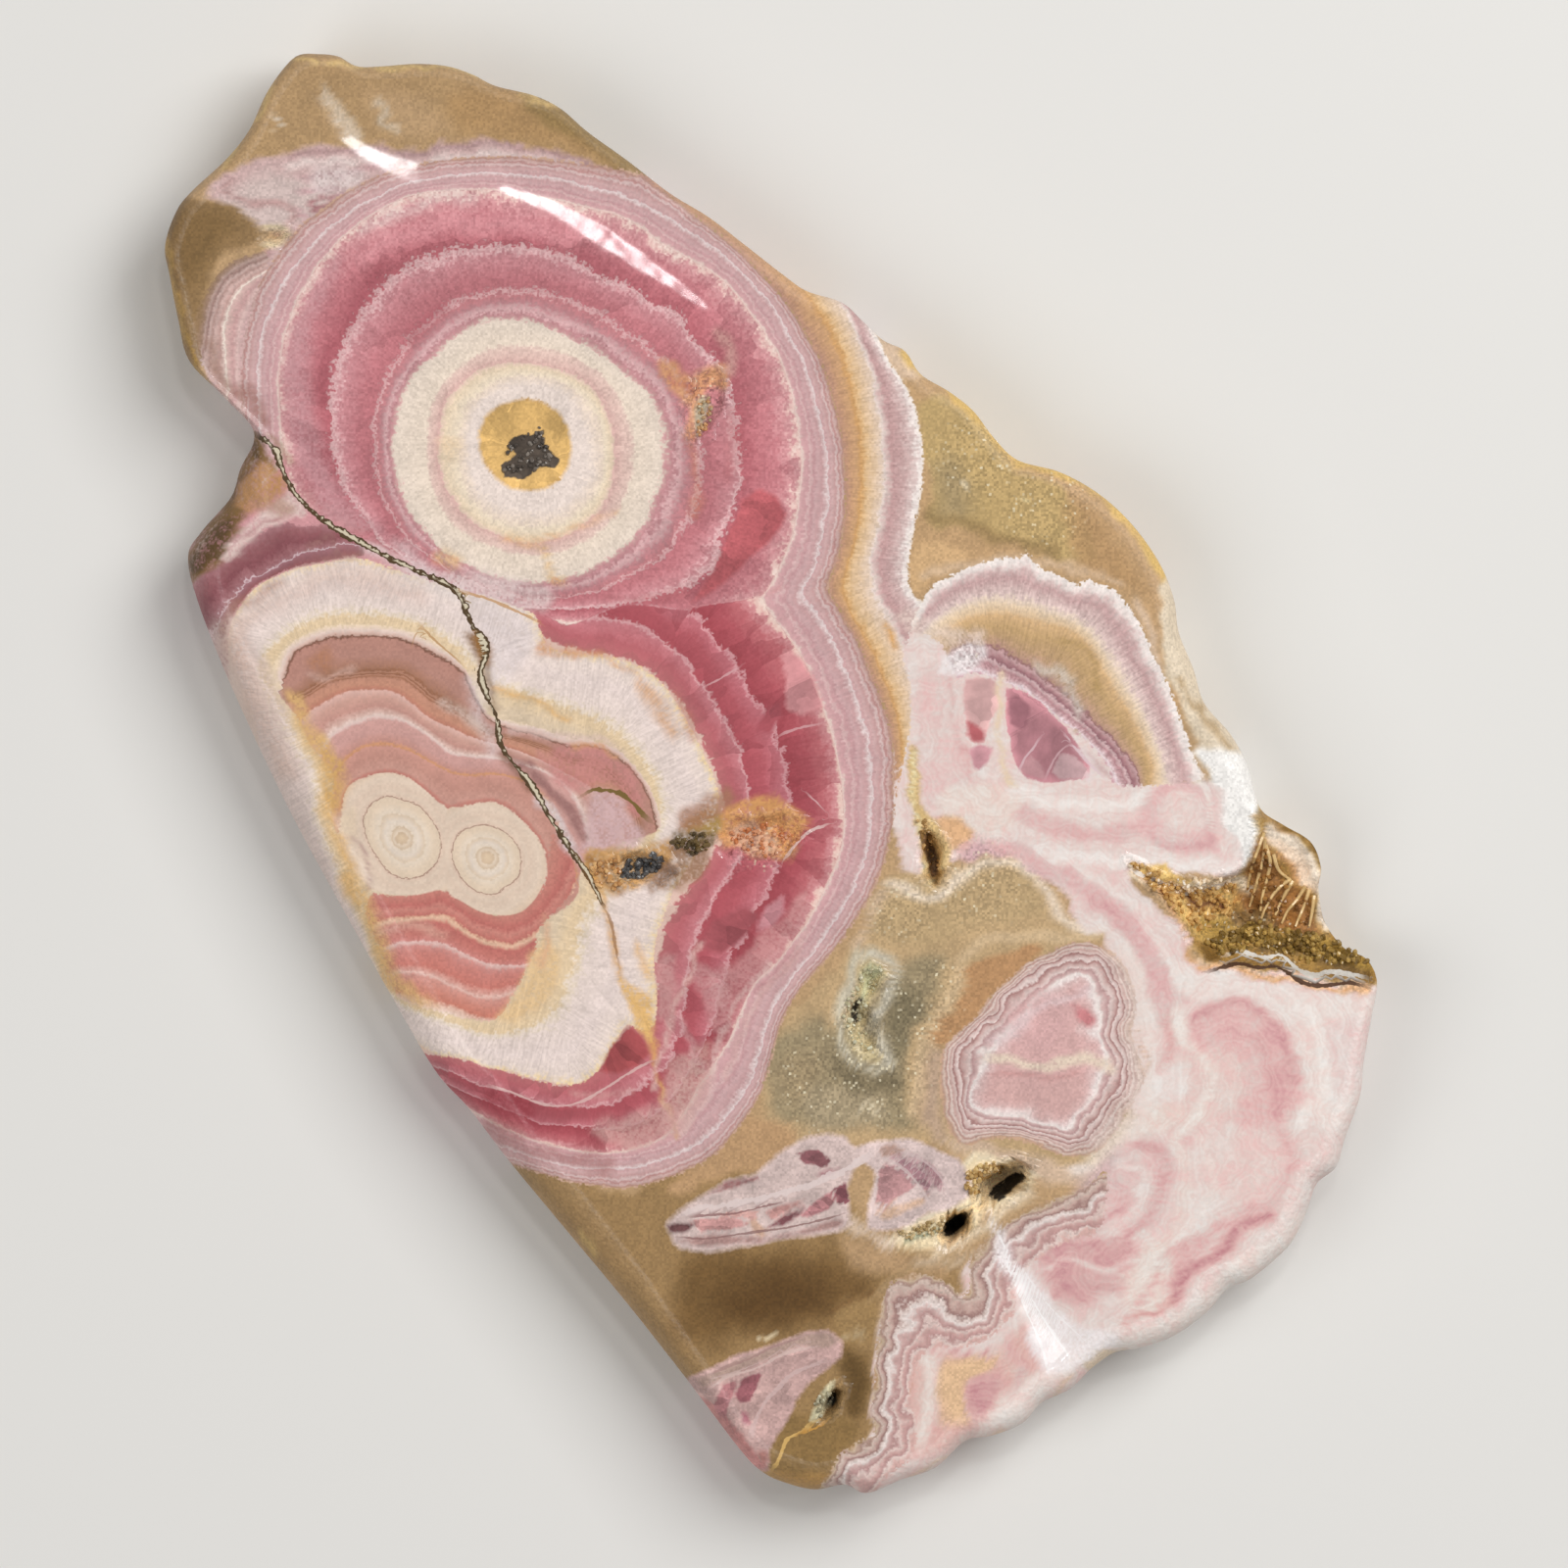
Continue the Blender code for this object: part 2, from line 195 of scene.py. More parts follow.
BAY_EDGE = [
    29.0,-7.0, 31.5,-8.3, 34.3,-9.0, 36.7,-8.6, 38.6,-7.8, 39.5,-6.3, 39.8,-4.5, 40.1,-2.0, 43.5,0.0,
    50.7,-2.5, 53.5,-10.0, 52.5,-17.0, 46.7,-17.2, 43.9,-16.9, 41.5,-16.1, 38.7,-15.8, 36.3,-15.6, 34.9,-14.3,
    34.1,-12.5, 32.7,-10.9, 30.9,-9.1]
BAY_DEPTHS = [
    (40.0, -13.5, 4.5, 3.4), (46.5, -14.5, 4.0, 3.2), (38.0, -11.0, 3.5, 2.0),
    (47.0, -9.0, 4.5, 2.4), (42.6, -8.0, 3.0, 1.3), (42.5, -3.5, 3.0, 1.0),
]
BAY_TIP_DEPTH = 0.7
BAY_LEAST_DEPTH = 0.15
LIP = 0.5  # the width of the chipped lip round a hollow
HOLLOW_FROM = 0.02  # stone that lies this deep belongs to a hollow


def offset_and_along(places, curve):
    """The signed distance of each place from a curve of short straight spans, positive on the curve's left,
    how far along the curve its nearest point is, and the curve's length."""
    nearest = np.full(len(places), np.inf)
    signed, reached = np.zeros(len(places)), np.zeros(len(places))
    start_length = 0.0
    for start, end in zip(curve[:-1], curve[1:]):
        span = end - start
        length = math.hypot(*span)
        if length < 1e-9:
            continue
        dx, dy = places[:, 0] - start[0], places[:, 1] - start[1]
        share = (dx * span[0] + dy * span[1]) / length**2
        held = np.clip(share, 0, 1)
        away = np.hypot(dx - held * span[0], dy - held * span[1])
        closer = away < nearest
        nearest[closer] = away[closer]
        side = span[0] * dy[closer] - span[1] * dx[closer]
        signed[closer] = np.where(side >= 0, away[closer], -away[closer])
        reached[closer] = start_length + held[closer] * length
        start_length += length
    return signed, reached, start_length


def offset(places, curve):
    """The signed distance alone."""
    return offset_and_along(places, curve)[0]


def inside(at, polygon):
    """True where a point lies in a polygon: a ray to its right crosses the edge an odd number of times."""
    odd = np.zeros(len(at), bool)
    for (x0, y0), (x1, y1) in zip(polygon, np.roll(polygon, -1, axis=0)):
        if y0 == y1:
            continue
        spans = (at[:, 1] < y0) != (at[:, 1] < y1)
        odd ^= spans & (at[:, 0] < x0 + (at[:, 1] - y0) / (y1 - y0) * (x1 - x0))
    return odd


def depth_in(at, points):
    """Distance inside a closed smooth outline, negative outside it."""
    edge = smooth(points, closed=True)
    away = np.abs(offset(at, np.vstack([edge, edge[:1]])))
    return np.where(inside(at, edge), away, -away)


def pit_depth(x, y, pit, margin=0.0):
    """Half an egg: depth times the root of 1 - (u * u + v * v), with a ragged edge."""
    px, py, length, width, turn, depth = pit
    length, width = length + margin, width + margin
    angle = math.radians(turn)
    dx, dy = x - px, y - py
    u = (dx * math.cos(angle) + dy * math.sin(angle)) / (length / 2)
    v = (dy * math.cos(angle) - dx * math.sin(angle)) / (width / 2)
    ragged = 1 + 0.25 * random_field(x, y, 0.7, 3) + 0.12 * random_field(x, y, 0.35, 4)
    return depth * np.sqrt(np.clip(1 - (u * u + v * v) / ragged**2, 0, 1))


def hollow_depth(x, y):
    """How far the stone lies below its polished face at each place."""
    at = np.stack([x, y], axis=1)
    total = np.zeros(len(x))
    for pit in PITS.values():
        total = np.maximum(total, pit_depth(x, y, pit))
    bay = BAY_TIP_DEPTH + 0.5 * random_field(x, y, 1.5, 5) + 0.3 * random_field(x, y, 0.6, 6)
    for bx, by, spread, amount in BAY_DEPTHS:
        bay = bay + amount * np.exp(-((x - bx) ** 2 + (y - by) ** 2) / spread**2)
    wall = eased(depth_in(at, BAY_EDGE) + 0.3 * random_field(x, y, 0.8, 7), -0.1, 0.7)
    return np.maximum(total, np.maximum(bay, BAY_LEAST_DEPTH) * wall)


def near_hollow(x, y):
    """True in the hollows and on the chipped lip round them."""
    bay = depth_in(np.stack([x, y], axis=1), BAY_EDGE) > -LIP
    return np.any([pit_depth(x, y, pit, margin=2 * LIP) > 0 for pit in PITS.values()] + [bay], axis=0)


# %% [markdown]
# ## Shallow steps in the polish
# A hand-held pad leaves the face a little wavy. Three low slopes catch a lamp as white streaks: across each
# path the stone falls evenly to the left of its direction, and it slowly rises again behind. The drop is the
# width times the slope, less a fifth for the rounded ends of the slope, so it stays under half a millimetre.

# %% Steps in the polish
# (path on the sheet, slope, widths in millimetres at the start, the middle and the end)
POLISH_STEPS = [
    ([496,190, 530,198, 565,212, 610,238, 655,268, 700,298, 730,322], 0.119, (0.9, 2.4, 0.7)),
    ([316,84, 335,114, 358,144, 392,165, 420,174, 445,181], 0.124, (0.5, 1.8, 2.6)),
    ([1010,1248, 1030,1295, 1050,1338, 1070,1372, 1090,1402], 0.139, (0.5, 2.4, 3.8)),
]
STEP_BACK = 7.0
STEP_ENDS = 1.5
# The slope's rounded profile: the share that has fallen at some shares of its width.
STEP_ACROSS = (0, 0.1, 0.2, 0.8, 0.9, 1)
STEP_FALLEN = (0, 0.031, 0.125, 0.875, 0.969, 1)


def polish_fall(x, y):
    """How far the low steps let the polished face down at each place."""
    places = np.stack([x, y], axis=1)
    total = np.zeros(len(x))
    for path, slope, widths in POLISH_STEPS:
        signed, reached, whole = offset_and_along(places, smooth(to_stone(path)))
        signed = signed + 0.12 * random_field(x, y, 0.8, 31)
        width = np.interp(reached / whole, (0, 0.5, 1), widths)
        fallen = np.interp(signed / width + 0.5, STEP_ACROSS, STEP_FALLEN)
        ends = eased(reached, 0, STEP_ENDS) * eased(whole - reached, 0, STEP_ENDS)
        total += 0.8 * width * slope * ends * fallen * (1 - eased(signed - width / 2, 0, STEP_BACK))
    return total


# %% [markdown]
# ## One closed mesh
# The grid's square rings are shrunk copies of the outline. A ring at a distance r of n from the middle lies
# at r/n of the way out, and the point at a share s of the way round it follows the same share of the outline.

# %% Stone mesh
def ring_places(half):
    """(ring, share of the way round) of every point of a square grid, rings counted from the middle."""
    i, j = np.meshgrid(np.arange(-half, half + 1), np.arange(-half, half + 1), indexing="ij")
    ring = np.maximum(np.abs(i), np.abs(j))
    step = np.where(i == ring, j + ring,
                    np.where(j == ring, 3 * ring - i, np.where(i == -ring, 5 * ring - j, 7 * ring + i)))
    share = np.where(ring > 0, step / np.maximum(8 * ring, 1), 0.0) % 1.0
    return ring.ravel(), share.ravel()


def sheet_of_points(edge, half):
    """The square grid of points drawn out to a closed edge."""
    ring, share = ring_places(half)
    closed = np.vstack([edge, edge[:1]])
    places = np.linspace(0, 1, len(closed))
    return np.stack([ring / half * np.interp(share, places, closed[:, axis]) for axis in (0, 1)], axis=1)


def sheet_quads(half, first, upward):
    """The grid's faces as rows of four point numbers."""
    side = 2 * half + 1
    numbers = first + np.arange(side * side).reshape(side, side)
    corners = [numbers[:-1, :-1], numbers[1:, :-1], numbers[1:, 1:], numbers[:-1, 1:]]
    if not upward:
        corners = corners[::-1]
    return np.stack([corner.ravel() for corner in corners], axis=1)


def sheet_border(half, first):
    """The numbers of the grid's outermost points, in order round it."""
    ring, share = ring_places(half)
    edge = np.flatnonzero(ring == half)
    return first + edge[np.argsort(share[edge])]


face_edge = outline - outward * roll_width[:, None]
face_xy = sheet_of_points(face_edge, HALF_CELLS)
face_z = THICKNESS - CROWN * (face_xy**2).sum(axis=1) / FACE_REACH**2
edge_z = THICKNESS - CROWN * (face_edge**2).sum(axis=1) / FACE_REACH**2

rings_xy, rings_z = [], []
for step in range(1, ROLL_STEPS + 1):
    turn = math.pi / 2 * step / ROLL_STEPS
    rings_xy.append(outline - outward * (roll_width * (1 - math.sin(turn)))[:, None])
    rings_z.append(edge_z - roll_drop * (1 - math.cos(turn)))
roll_foot = edge_z - roll_drop
spot = rim_degrees + outline[:, 0]
for step in range(1, SIDE_STEPS + 1):
    share = step / SIDE_STEPS
    height = roll_foot * (1 - share) + BACK_CHAMFER * share
    lump = RIM_LUMP * (1 + random_field(spot, height, 2.6, 8)) / 2
    lump += 0.12 * (1 + random_field(spot, height, 0.9, 9))
    inset = draw_in * share**2 + lump * np.minimum(1, draw_in) * share
    rings_xy.append(outline - outward * inset[:, None])
    rings_z.append(height)
rings_xy.append(rings_xy[-1] - outward * BACK_CHAMFER)
rings_z.append(np.zeros(RIM_POINTS))

back_half = HALF_CELLS // 2
back_xy = sheet_of_points(rings_xy[-1][::2] * BACK_SHRINK, back_half)
back_z = np.zeros(len(back_xy))

stone_xy = np.vstack([face_xy] + rings_xy + [back_xy])
stone_z = np.concatenate([face_z] + rings_z + [back_z])
upper = np.concatenate([np.ones(len(face_xy) + ROLL_STEPS * RIM_POINTS, bool),
                        np.zeros((SIDE_STEPS + 1) * RIM_POINTS + len(back_xy), bool)])
crown_z = THICKNESS - CROWN * (stone_xy**2).sum(axis=1) / FACE_REACH**2
floor_z = crown_z - hollow_depth(stone_xy[:, 0], stone_xy[:, 1])
in_hollow = crown_z - floor_z > HOLLOW_FROM
stone_z = np.where(upper & in_hollow, np.minimum(stone_z, floor_z), stone_z)
stone_z = stone_z - np.where(upper & ~in_hollow, polish_fall(stone_xy[:, 0], stone_xy[:, 1]), 0)
side_points = ~upper & (stone_z > 0)
stone_z = np.where(side_points & in_hollow, np.minimum(stone_z, np.maximum(floor_z, BACK_CHAMFER)), stone_z)

first_ring = len(face_xy)
loops = [sheet_border(HALF_CELLS, 0)]
for k in range(len(rings_xy)):
    loops.append(first_ring + k * RIM_POINTS + np.arange(RIM_POINTS))
first_back = first_ring + len(rings_xy) * RIM_POINTS
quads = [sheet_quads(HALF_CELLS, 0, True), sheet_quads(back_half, first_back, False)]
for above, below in zip(loops[:-1], loops[1:]):
    quads.append(np.stack([above, below, np.roll(below, -1), np.roll(above, -1)], axis=1))
back_loop = sheet_border(back_half, first_back)
pentagons = np.stack([loops[-1][0::2], back_loop, np.roll(back_loop, -1), np.roll(loops[-1], -1)[1::2],
                      loops[-1][1::2]], axis=1)
faces = [row for block in quads for row in block.tolist()] + pentagons.tolist()
stone_mesh = bpy.data.meshes.new("rhodochrosite_stone")
stone_mesh.from_pydata((np.column_stack([stone_xy, stone_z]) * MM).tolist(), [], faces)
stone_mesh.shade_smooth()
stone = bpy.data.objects.new("rhodochrosite_stone", stone_mesh)
bpy.context.scene.collection.objects.link(stone)
at = to_sheet(stone_xy[:, 0], stone_xy[:, 1])
print("stone:", len(stone_xy), "points,", 2 * sum(map(len, quads)) + 3 * len(pentagons), "triangles")

# %% [markdown]
# ## Level fields
# Growth bands are nested: each coat wraps the one before. A family of bands is a few contours in order of
# growth. At a point between contour k and the next, at distances a and b from them, the level is k + a / (a +
# b). It is smooth and equals a whole number on each contour, so a colour ramp over the level gives crisp
# bands that follow the drawn curves, and noise added to the level makes them waver. The crystals of a
# coat grow straight out from the one before, so each family also keeps how far out and how far along a point
# lies: a streaky noise on those two is the coat's fibres.

# %% Level fields
FAR = -60.0  # a mask's value where a family is nowhere near
NEAR = 16.0  # squares outside its edge to which a family is worked out
families = []


def store(name, rows):
    """Keeps three numbers for each point of the stone, for its material to read."""
    attribute = stone_mesh.attributes.new(name, "FLOAT_VECTOR", "POINT")
    attribute.data.foreach_set("vector", np.asarray(rows, np.float32).ravel())


def boxed(points, margin):
    """The numbers of the stone's points that lie in the box around some sheet points."""
    points = pairs(points)
    low, high = points.min(axis=0) - margin, points.max(axis=0) + margin
    return np.flatnonzero(((at > low) & (at < high)).all(axis=1))


def levels(places, contours, closed, spacing):
    """The level at each place, and its place along the first contour, wrapped round a circle if it is closed.
    Before the first contour and past the last one the level changes by 1 in each spacing squares."""
    curves = [smooth(contour, closed, steps=4) for contour in contours]
    if closed:
        curves = [np.vstack([curve, curve[:1]]) for curve in curves]
    stack = []
    for k, curve in enumerate(curves):
        signed, reached, whole = offset_and_along(places, curve)
        if k == len(curves) // 2:
            along = reached, whole
        other = curves[k + 1] if k + 1 < len(curves) else curves[k - 1]
        outer_side = np.sign(np.median(offset_and_along(other, curve)[0]))
        stack.append(signed * (outer_side if k + 1 < len(curves) else -outer_side))
    stack = np.array(stack)
    passed = (stack > 0).sum(axis=0)
    last, columns = len(stack) - 1, np.arange(len(places))
    below = np.abs(stack[np.clip(passed - 1, 0, last), columns])
    above = np.abs(stack[np.clip(passed, 0, last), columns])
    level = passed - 1 + below / np.maximum(below + above, 1e-6)
    level = np.where(passed == 0, stack[0] / spacing, level)
    level = np.where(passed > last, last + stack[last] / spacing, level)
    reached, whole = along
    if closed:
        turn = 2 * math.pi * reached / whole
        radius = whole / (2 * math.pi)
        return level, radius * np.cos(turn), radius * np.sin(turn)
    return level, reached, np.zeros(len(places))


def family(name, contours, edge, colours, closed=False, spacing=20.0, waver=0.1, ragged=0.1, fray=0.0,
           fibre=0.0, grain=0.0, glass=0.0, speckle=0.05):
    """Works out one family of bands inside a closed edge and keeps it for the stone's material."""
    near_box = boxed(edge, NEAR)
    mask = np.full(len(at), FAR)
    mask[near_box] = depth_in(at[near_box], edge)
    close = np.flatnonzero(mask > -NEAR)
    bands, fibres = np.zeros((2, len(at), 3))
    level, along, around = levels(at[close], contours, closed, spacing)
    bands[:, 1] = mask
    bands[close, 0] = level
    fibres[close] = np.column_stack([level * spacing, along, around])
    store(name + "_bands", bands)
    store(name + "_fibres", fibres)
    families.append(dict(name=name, colours=colours, waver=waver, ragged=ragged, fray=fray, fibre=fibre,
                         grain=grain, glass=glass, speckle=speckle))
    print(f"{name}: {len(close)} points, levels {level.min():.1f} to {level.max():.1f}")

# %% [markdown]
# ## Fine outer coats
# The last coats of the big two-lobed body are thin and wavy, lilac and white in turn. Three contours hold
# them: the cream line they start from, a white line half-way, and the edge where the tan calcite begins.

# %% Outer coats
CREAM_LINE = [
    462,1122, 440,1090, 330,930, 190,650, 215,540, 262,500, 285,470, 287,440, 284,400, 287,360, 296,325,
    308,298, 325,270, 348,243, 372,224, 398,208, 425,198, 455,194, 490,193, 520,196, 550,201, 580,207,
    605,213, 628,218, 650,229, 672,246, 700,262, 722,274, 742,290, 757,307, 770,325, 782,342, 792,358,
    802,380, 808,402, 813,430, 817,460, 818,485, 815,510, 811,535, 803,562, 791,588, 778,608, 783,622,
    793,635, 806,652, 818,670, 829,693, 838,717, 848,747, 855,777, 859,803, 861,830, 859,860, 852,885,
    842,905, 828,935, 810,960, 790,985, 772,1002, 758,1027, 745,1060, 728,1087, 712,1110, 700,1132, 688,1150,
    668,1165, 645,1173, 615,1177, 590,1174, 560,1168, 530,1158, 505,1147, 480,1133]
WHITE_LINE = [
    470,1160, 410,1100, 300,940, 170,660, 180,540, 240,490, 262,460, 265,420, 262,380, 268,340, 280,305,
    298,275, 322,246, 350,222, 380,203, 412,188, 450,180, 490,177, 530,178, 565,182, 600,189, 630,197,
    655,208, 682,223, 712,241, 745,266, 770,290, 790,315, 805,340, 820,370, 830,400, 838,430, 843,460,
    845,500, 842,530, 836,560, 828,585, 819,606, 835,628, 850,655, 864,690, 876,720, 885,745, 889,780,
    889,830, 884,870, 872,905, 855,935, 838,962, 815,990, 797,1015, 785,1040, 777,1070, 768,1100, 752,1125,
    735,1147, 713,1166, 688,1180, 655,1190, 620,1193, 585,1191, 550,1183, 520,1173, 497,1165]
COAT_EDGE = [
    480,1190, 380,1110, 270,950, 150,660, 150,540, 215,480, 240,455, 244,420, 240,380, 247,335, 258,300,
    276,270, 300,238, 330,212, 362,190, 400,174, 445,164, 490,160, 540,160, 590,166, 625,171, 656,179,
    690,205, 725,232, 760,262, 785,288, 805,312, 822,340, 838,370, 848,400, 856,430, 861,460, 863,500,
    861,540, 855,570, 846,600, 860,628, 876,655, 890,690, 902,720, 910,750, 913,790, 912,830, 905,870,
    893,905, 878,930, 862,955, 845,977, 822,1002, 805,1027, 795,1052, 787,1080, 778,1110, 765,1135, 748,1157,
    730,1178, 700,1195, 665,1207, 630,1212, 590,1208, 560,1200, 530,1191, 510,1188]
family("outer_coats", [CREAM_LINE, WHITE_LINE, COAT_EDGE], COAT_EDGE, closed=True, spacing=25, waver=0.16,
    ragged=0.12, fray=3.0, fibre=0.25, grain=0.5, colours=[
    (-0.20, 0xD4989C), (-0.06, 0xE2C0B8), (0.02, 0xE6CEC4), (0.10, 0xD4A8A8), (0.26, 0xCD9EA0),
    (0.36, 0xD8B4B2), (0.46, 0xC6989A), (0.62, 0xCEA8A8), (0.80, 0xC89E9E), (0.92, 0xD6BAB8), (1.0, 0xE2D0CE),
    (1.08, 0xCAA0A0), (1.25, 0xCEAAA8), (1.42, 0xC49A98), (1.55, 0xD6BCB8), (1.66, 0xBA8A86),
    (1.78, 0xCCACA6), (1.92, 0xB2887C), (2.0, 0xC4A08A)])

# %% [markdown]
# ## The upper rosette
# This is a stalactite cut square across. Its core is honey-coloured, with dark crystals, inside cream and
# white coats of fibres; around these lie granular rose coats with a scalloped edge, and a glassy deep rose
# one.

# %% Upper rosette
ROSETTE_RINGS = [
    [540,405, 555,411, 566,425, 571,442, 578,460, 581,475, 577,489, 565,498, 548,501, 530,500, 512,495,
     498,482, 491,465, 489,446, 495,428, 508,414, 524,408],
    [545,384, 575,390, 598,408, 612,432, 616,460, 613,490, 600,512, 580,528, 555,536, 525,535, 500,526,
     482,508, 472,480, 470,450, 476,422, 492,400, 515,387],
    [530,371, 560,374, 590,386, 610,405, 622,430, 626,460, 624,490, 612,520, 590,540, 565,550, 540,554,
     515,549, 490,538, 468,518, 452,492, 446,460, 448,430, 458,403, 478,383, 503,373],
    [535,350, 570,355, 600,370, 625,392, 642,420, 648,450, 646,485, 636,515, 618,540, 592,557, 560,567,
     530,567, 500,560, 474,546, 452,523, 440,495, 435,462, 437,428, 447,400, 465,375, 490,357, 512,351],
    [510,327, 545,330, 578,343, 612,362, 640,382, 662,402, 675,430, 679,460, 675,492, 664,522, 650,546,
     628,566, 600,582, 570,590, 540,594, 510,590, 480,578, 450,560, 430,538, 412,510, 403,480, 400,450,
     405,415, 418,389, 438,367, 458,348, 483,333],
    [500,299, 540,297, 575,305, 610,318, 645,340, 678,368, 700,400, 710,435, 714,470, 711,505, 702,535,
     685,558, 655,582, 625,598, 590,608, 550,612, 510,607, 475,592, 445,573, 418,552, 400,525, 388,495,
     383,460, 383,425, 390,395, 402,370, 420,345, 445,322, 470,307],
    [337,405, 340,380, 346,358, 355,340, 366,320, 385,297, 400,284, 420,272, 432,269, 452,263, 470,258,
     490,256, 510,253, 530,256, 545,254, 562,258, 580,263, 600,274, 618,284, 632,288, 648,296, 665,307,
     688,316, 700,330, 710,345, 718,356, 735,372, 745,400, 750,430, 756,460, 757,485, 752,510, 745,535,
     733,560, 718,585, 700,602, 670,612, 640,618, 600,622, 560,622, 500,616, 460,603, 430,586, 400,562,
     380,541, 362,520, 352,500, 345,480, 340,455, 337,430],
    joined(pairs(CREAM_LINE)[7:43], [740,622, 700,630, 640,634, 560,634, 490,630, 430,606, 370,566, 320,530,
     295,490]),
]
ROSETTE_EDGE = joined([288,445], pairs(CREAM_LINE)[8:42], [777,609, 755,613, 725,617, 700,622, 675,619,
    645,616, 620,622, 595,635, 565,640, 545,628, 520,616, 490,606, 470,598, 445,585, 415,570, 385,556,
    345,538, 318,520, 300,503, 294,480])
family("rosette", ROSETTE_RINGS, ROSETTE_EDGE, closed=True, spacing=45, waver=0.11, ragged=0.16, fray=1.5,
    fibre=0.3, grain=0.7, glass=0.6, speckle=0.11, colours=[
    (-1.0, 0xEECE96), (-0.3, 0xE5B86C), (-0.22, 0xD8A65E), (-0.14, 0xDAB892), (-0.06, 0xE9D8CE),
    (0.55, 0xEBDAD0), (0.95, 0xEAD6C4), (1.2, 0xECDAC2), (1.7, 0xEAD4B8), (1.95, 0xE6CAB8), (2.05, 0xD8B0A8),
    (2.25, 0xDCB8AE), (2.8, 0xE2C4B8), (3.0, 0xE8D6C4), (3.93, 0xE7D6C6), (4.05, 0xCC9E9C), (4.2, 0xBE868A),
    (4.4, 0xD6ACAC), (4.6, 0xBC8488), (4.86, 0xC27E82), (4.97, 0xD8ACAC), (5.06, 0xB87076), (5.35, 0xC0787E),
    (5.75, 0xCC8C91), (5.93, 0xE0B6B6), (6.02, 0xB2626A), (6.62, 0xC67E84), (6.88, 0xD49A9C),
    (6.97, 0xE2BCB4), (7.1, 0xE6CEC4)])

# %% [markdown]
# ## The lower rose coats
# The same rose coats wrap the lower stalactite. They run from the frayed edge of its white ring, past a
# granular line and a scalloped one, out to the cream line.

# %% Lower rose coats
LOWER_ROSE = [
    [530,628, 560,655, 600,667, 630,671, 655,681, 675,696, 690,715, 703,735, 715,755, 725,775, 731,795,
     736,830, 733,865, 715,890, 700,908, 686,930, 673,955, 667,985, 668,1012, 652,1035, 630,1056, 613,1086,
     592,1101, 570,1106, 545,1100, 518,1094, 490,1087, 462,1080, 430,1076],
    [545,622, 600,630, 640,636, 660,643, 680,656, 695,668, 706,682, 713,696, 723,711, 734,731, 746,751,
     756,772, 762,800, 765,830, 758,870, 738,905, 718,940, 704,975, 699,1010, 694,1050, 682,1085, 665,1104,
     640,1117, 615,1129, 590,1131, 560,1127, 520,1116, 485,1105, 450,1090, 425,1082],
    [690,620, 715,631, 728,645, 736,661, 748,676, 756,690, 766,705, 775,724, 786,737, 793,755, 797,778,
     801,803, 806,830, 800,870, 785,905, 765,940, 745,975, 735,1010, 725,1050, 705,1090, 685,1120, 660,1140,
     630,1150, 590,1150, 550,1145, 515,1132, 480,1118, 450,1104],
    joined([770,606], pairs(CREAM_LINE)[43:74], [450,1115]),
]
LOWER_ROSE_EDGE = joined([550,626, 580,638, 615,624, 645,617, 675,620, 700,622, 725,617, 755,613, 777,609],
    pairs(CREAM_LINE)[43:74], [440,1110, 410,1060, 500,1040, 600,1000, 640,900, 640,800, 600,700, 530,640])
family("lower_rose", LOWER_ROSE, LOWER_ROSE_EDGE, spacing=40, waver=0.12, ragged=0.12, fray=1.0, fibre=0.2,
    grain=0.3, glass=0.7, colours=[
    (0.0, 0xE2C0B2), (0.08, 0xBA6E70), (0.5, 0xB6646A), (0.9, 0xC2787E), (1.0, 0xD6A2A4), (1.08, 0xAA5058),
    (1.5, 0xB05860), (1.9, 0xC07078), (2.0, 0xD49A9E), (2.05, 0xA0464E), (2.4, 0xAC535B), (2.7, 0xBA686D),
    (2.9, 0xCE8E90), (2.97, 0xE2BAB0), (3.1, 0xE8D0C4)])

# %% [markdown]
# ## The lower stalactite
# Its white coat is a mat of fibres that stand straight out. Inside it, thin strata sank through the hollow
# tube: salmon, lilac and brown layers, bent over a pair of small round stalactites like two eyes.

# %% White fibrous coat
WHITE_COAT_INNER = [
    270,676, 285,660, 302,647, 325,636, 355,632, 395,634, 430,642, 458,660, 480,684, 505,702, 540,714,
    580,728, 615,745, 645,770, 664,800, 670,835, 655,870, 630,892, 605,912, 585,945, 574,1000, 545,1040,
    500,1052, 455,1038, 425,1028, 403,1015, 388,985, 373,940, 358,905, 343,870, 330,830, 332,792, 316,765,
    298,732, 274,695]
WHITE_COAT_OUTER = [
    233,645, 240,626, 250,611, 262,598, 280,588, 300,580, 325,575, 345,571, 366,569, 400,580, 430,590,
    468,601, 520,616, 545,628, 553,648, 562,662, 600,668, 630,672, 655,682, 674,697, 690,716, 702,738,
    712,756, 721,776, 730,797, 733,818, 722,850, 706,880, 690,903, 680,928, 671,952, 667,980, 670,1012,
    668,1045, 655,1052, 641,1046, 630,1062, 618,1082, 604,1098, 588,1106, 570,1106, 545,1101, 520,1093,
    498,1089, 480,1082, 462,1078, 436,1072, 380,1030, 300,900, 235,790, 222,720]
family("white_coat", [WHITE_COAT_INNER, WHITE_COAT_OUTER], WHITE_COAT_OUTER, closed=True, spacing=60,
    waver=0.05, ragged=0.12, fray=2.2, fibre=0.5, grain=0.5, colours=[
    (-0.3, 0xDCC6AA), (-0.02, 0xE2C8A4), (0.05, 0xE4CAA6), (0.13, 0xE6D4C0), (0.25, 0xE6D4CB),
    (0.6, 0xE7D5CE), (0.88, 0xE8D6CC), (0.97, 0xE8D2B8), (1.03, 0xEACEA2)])

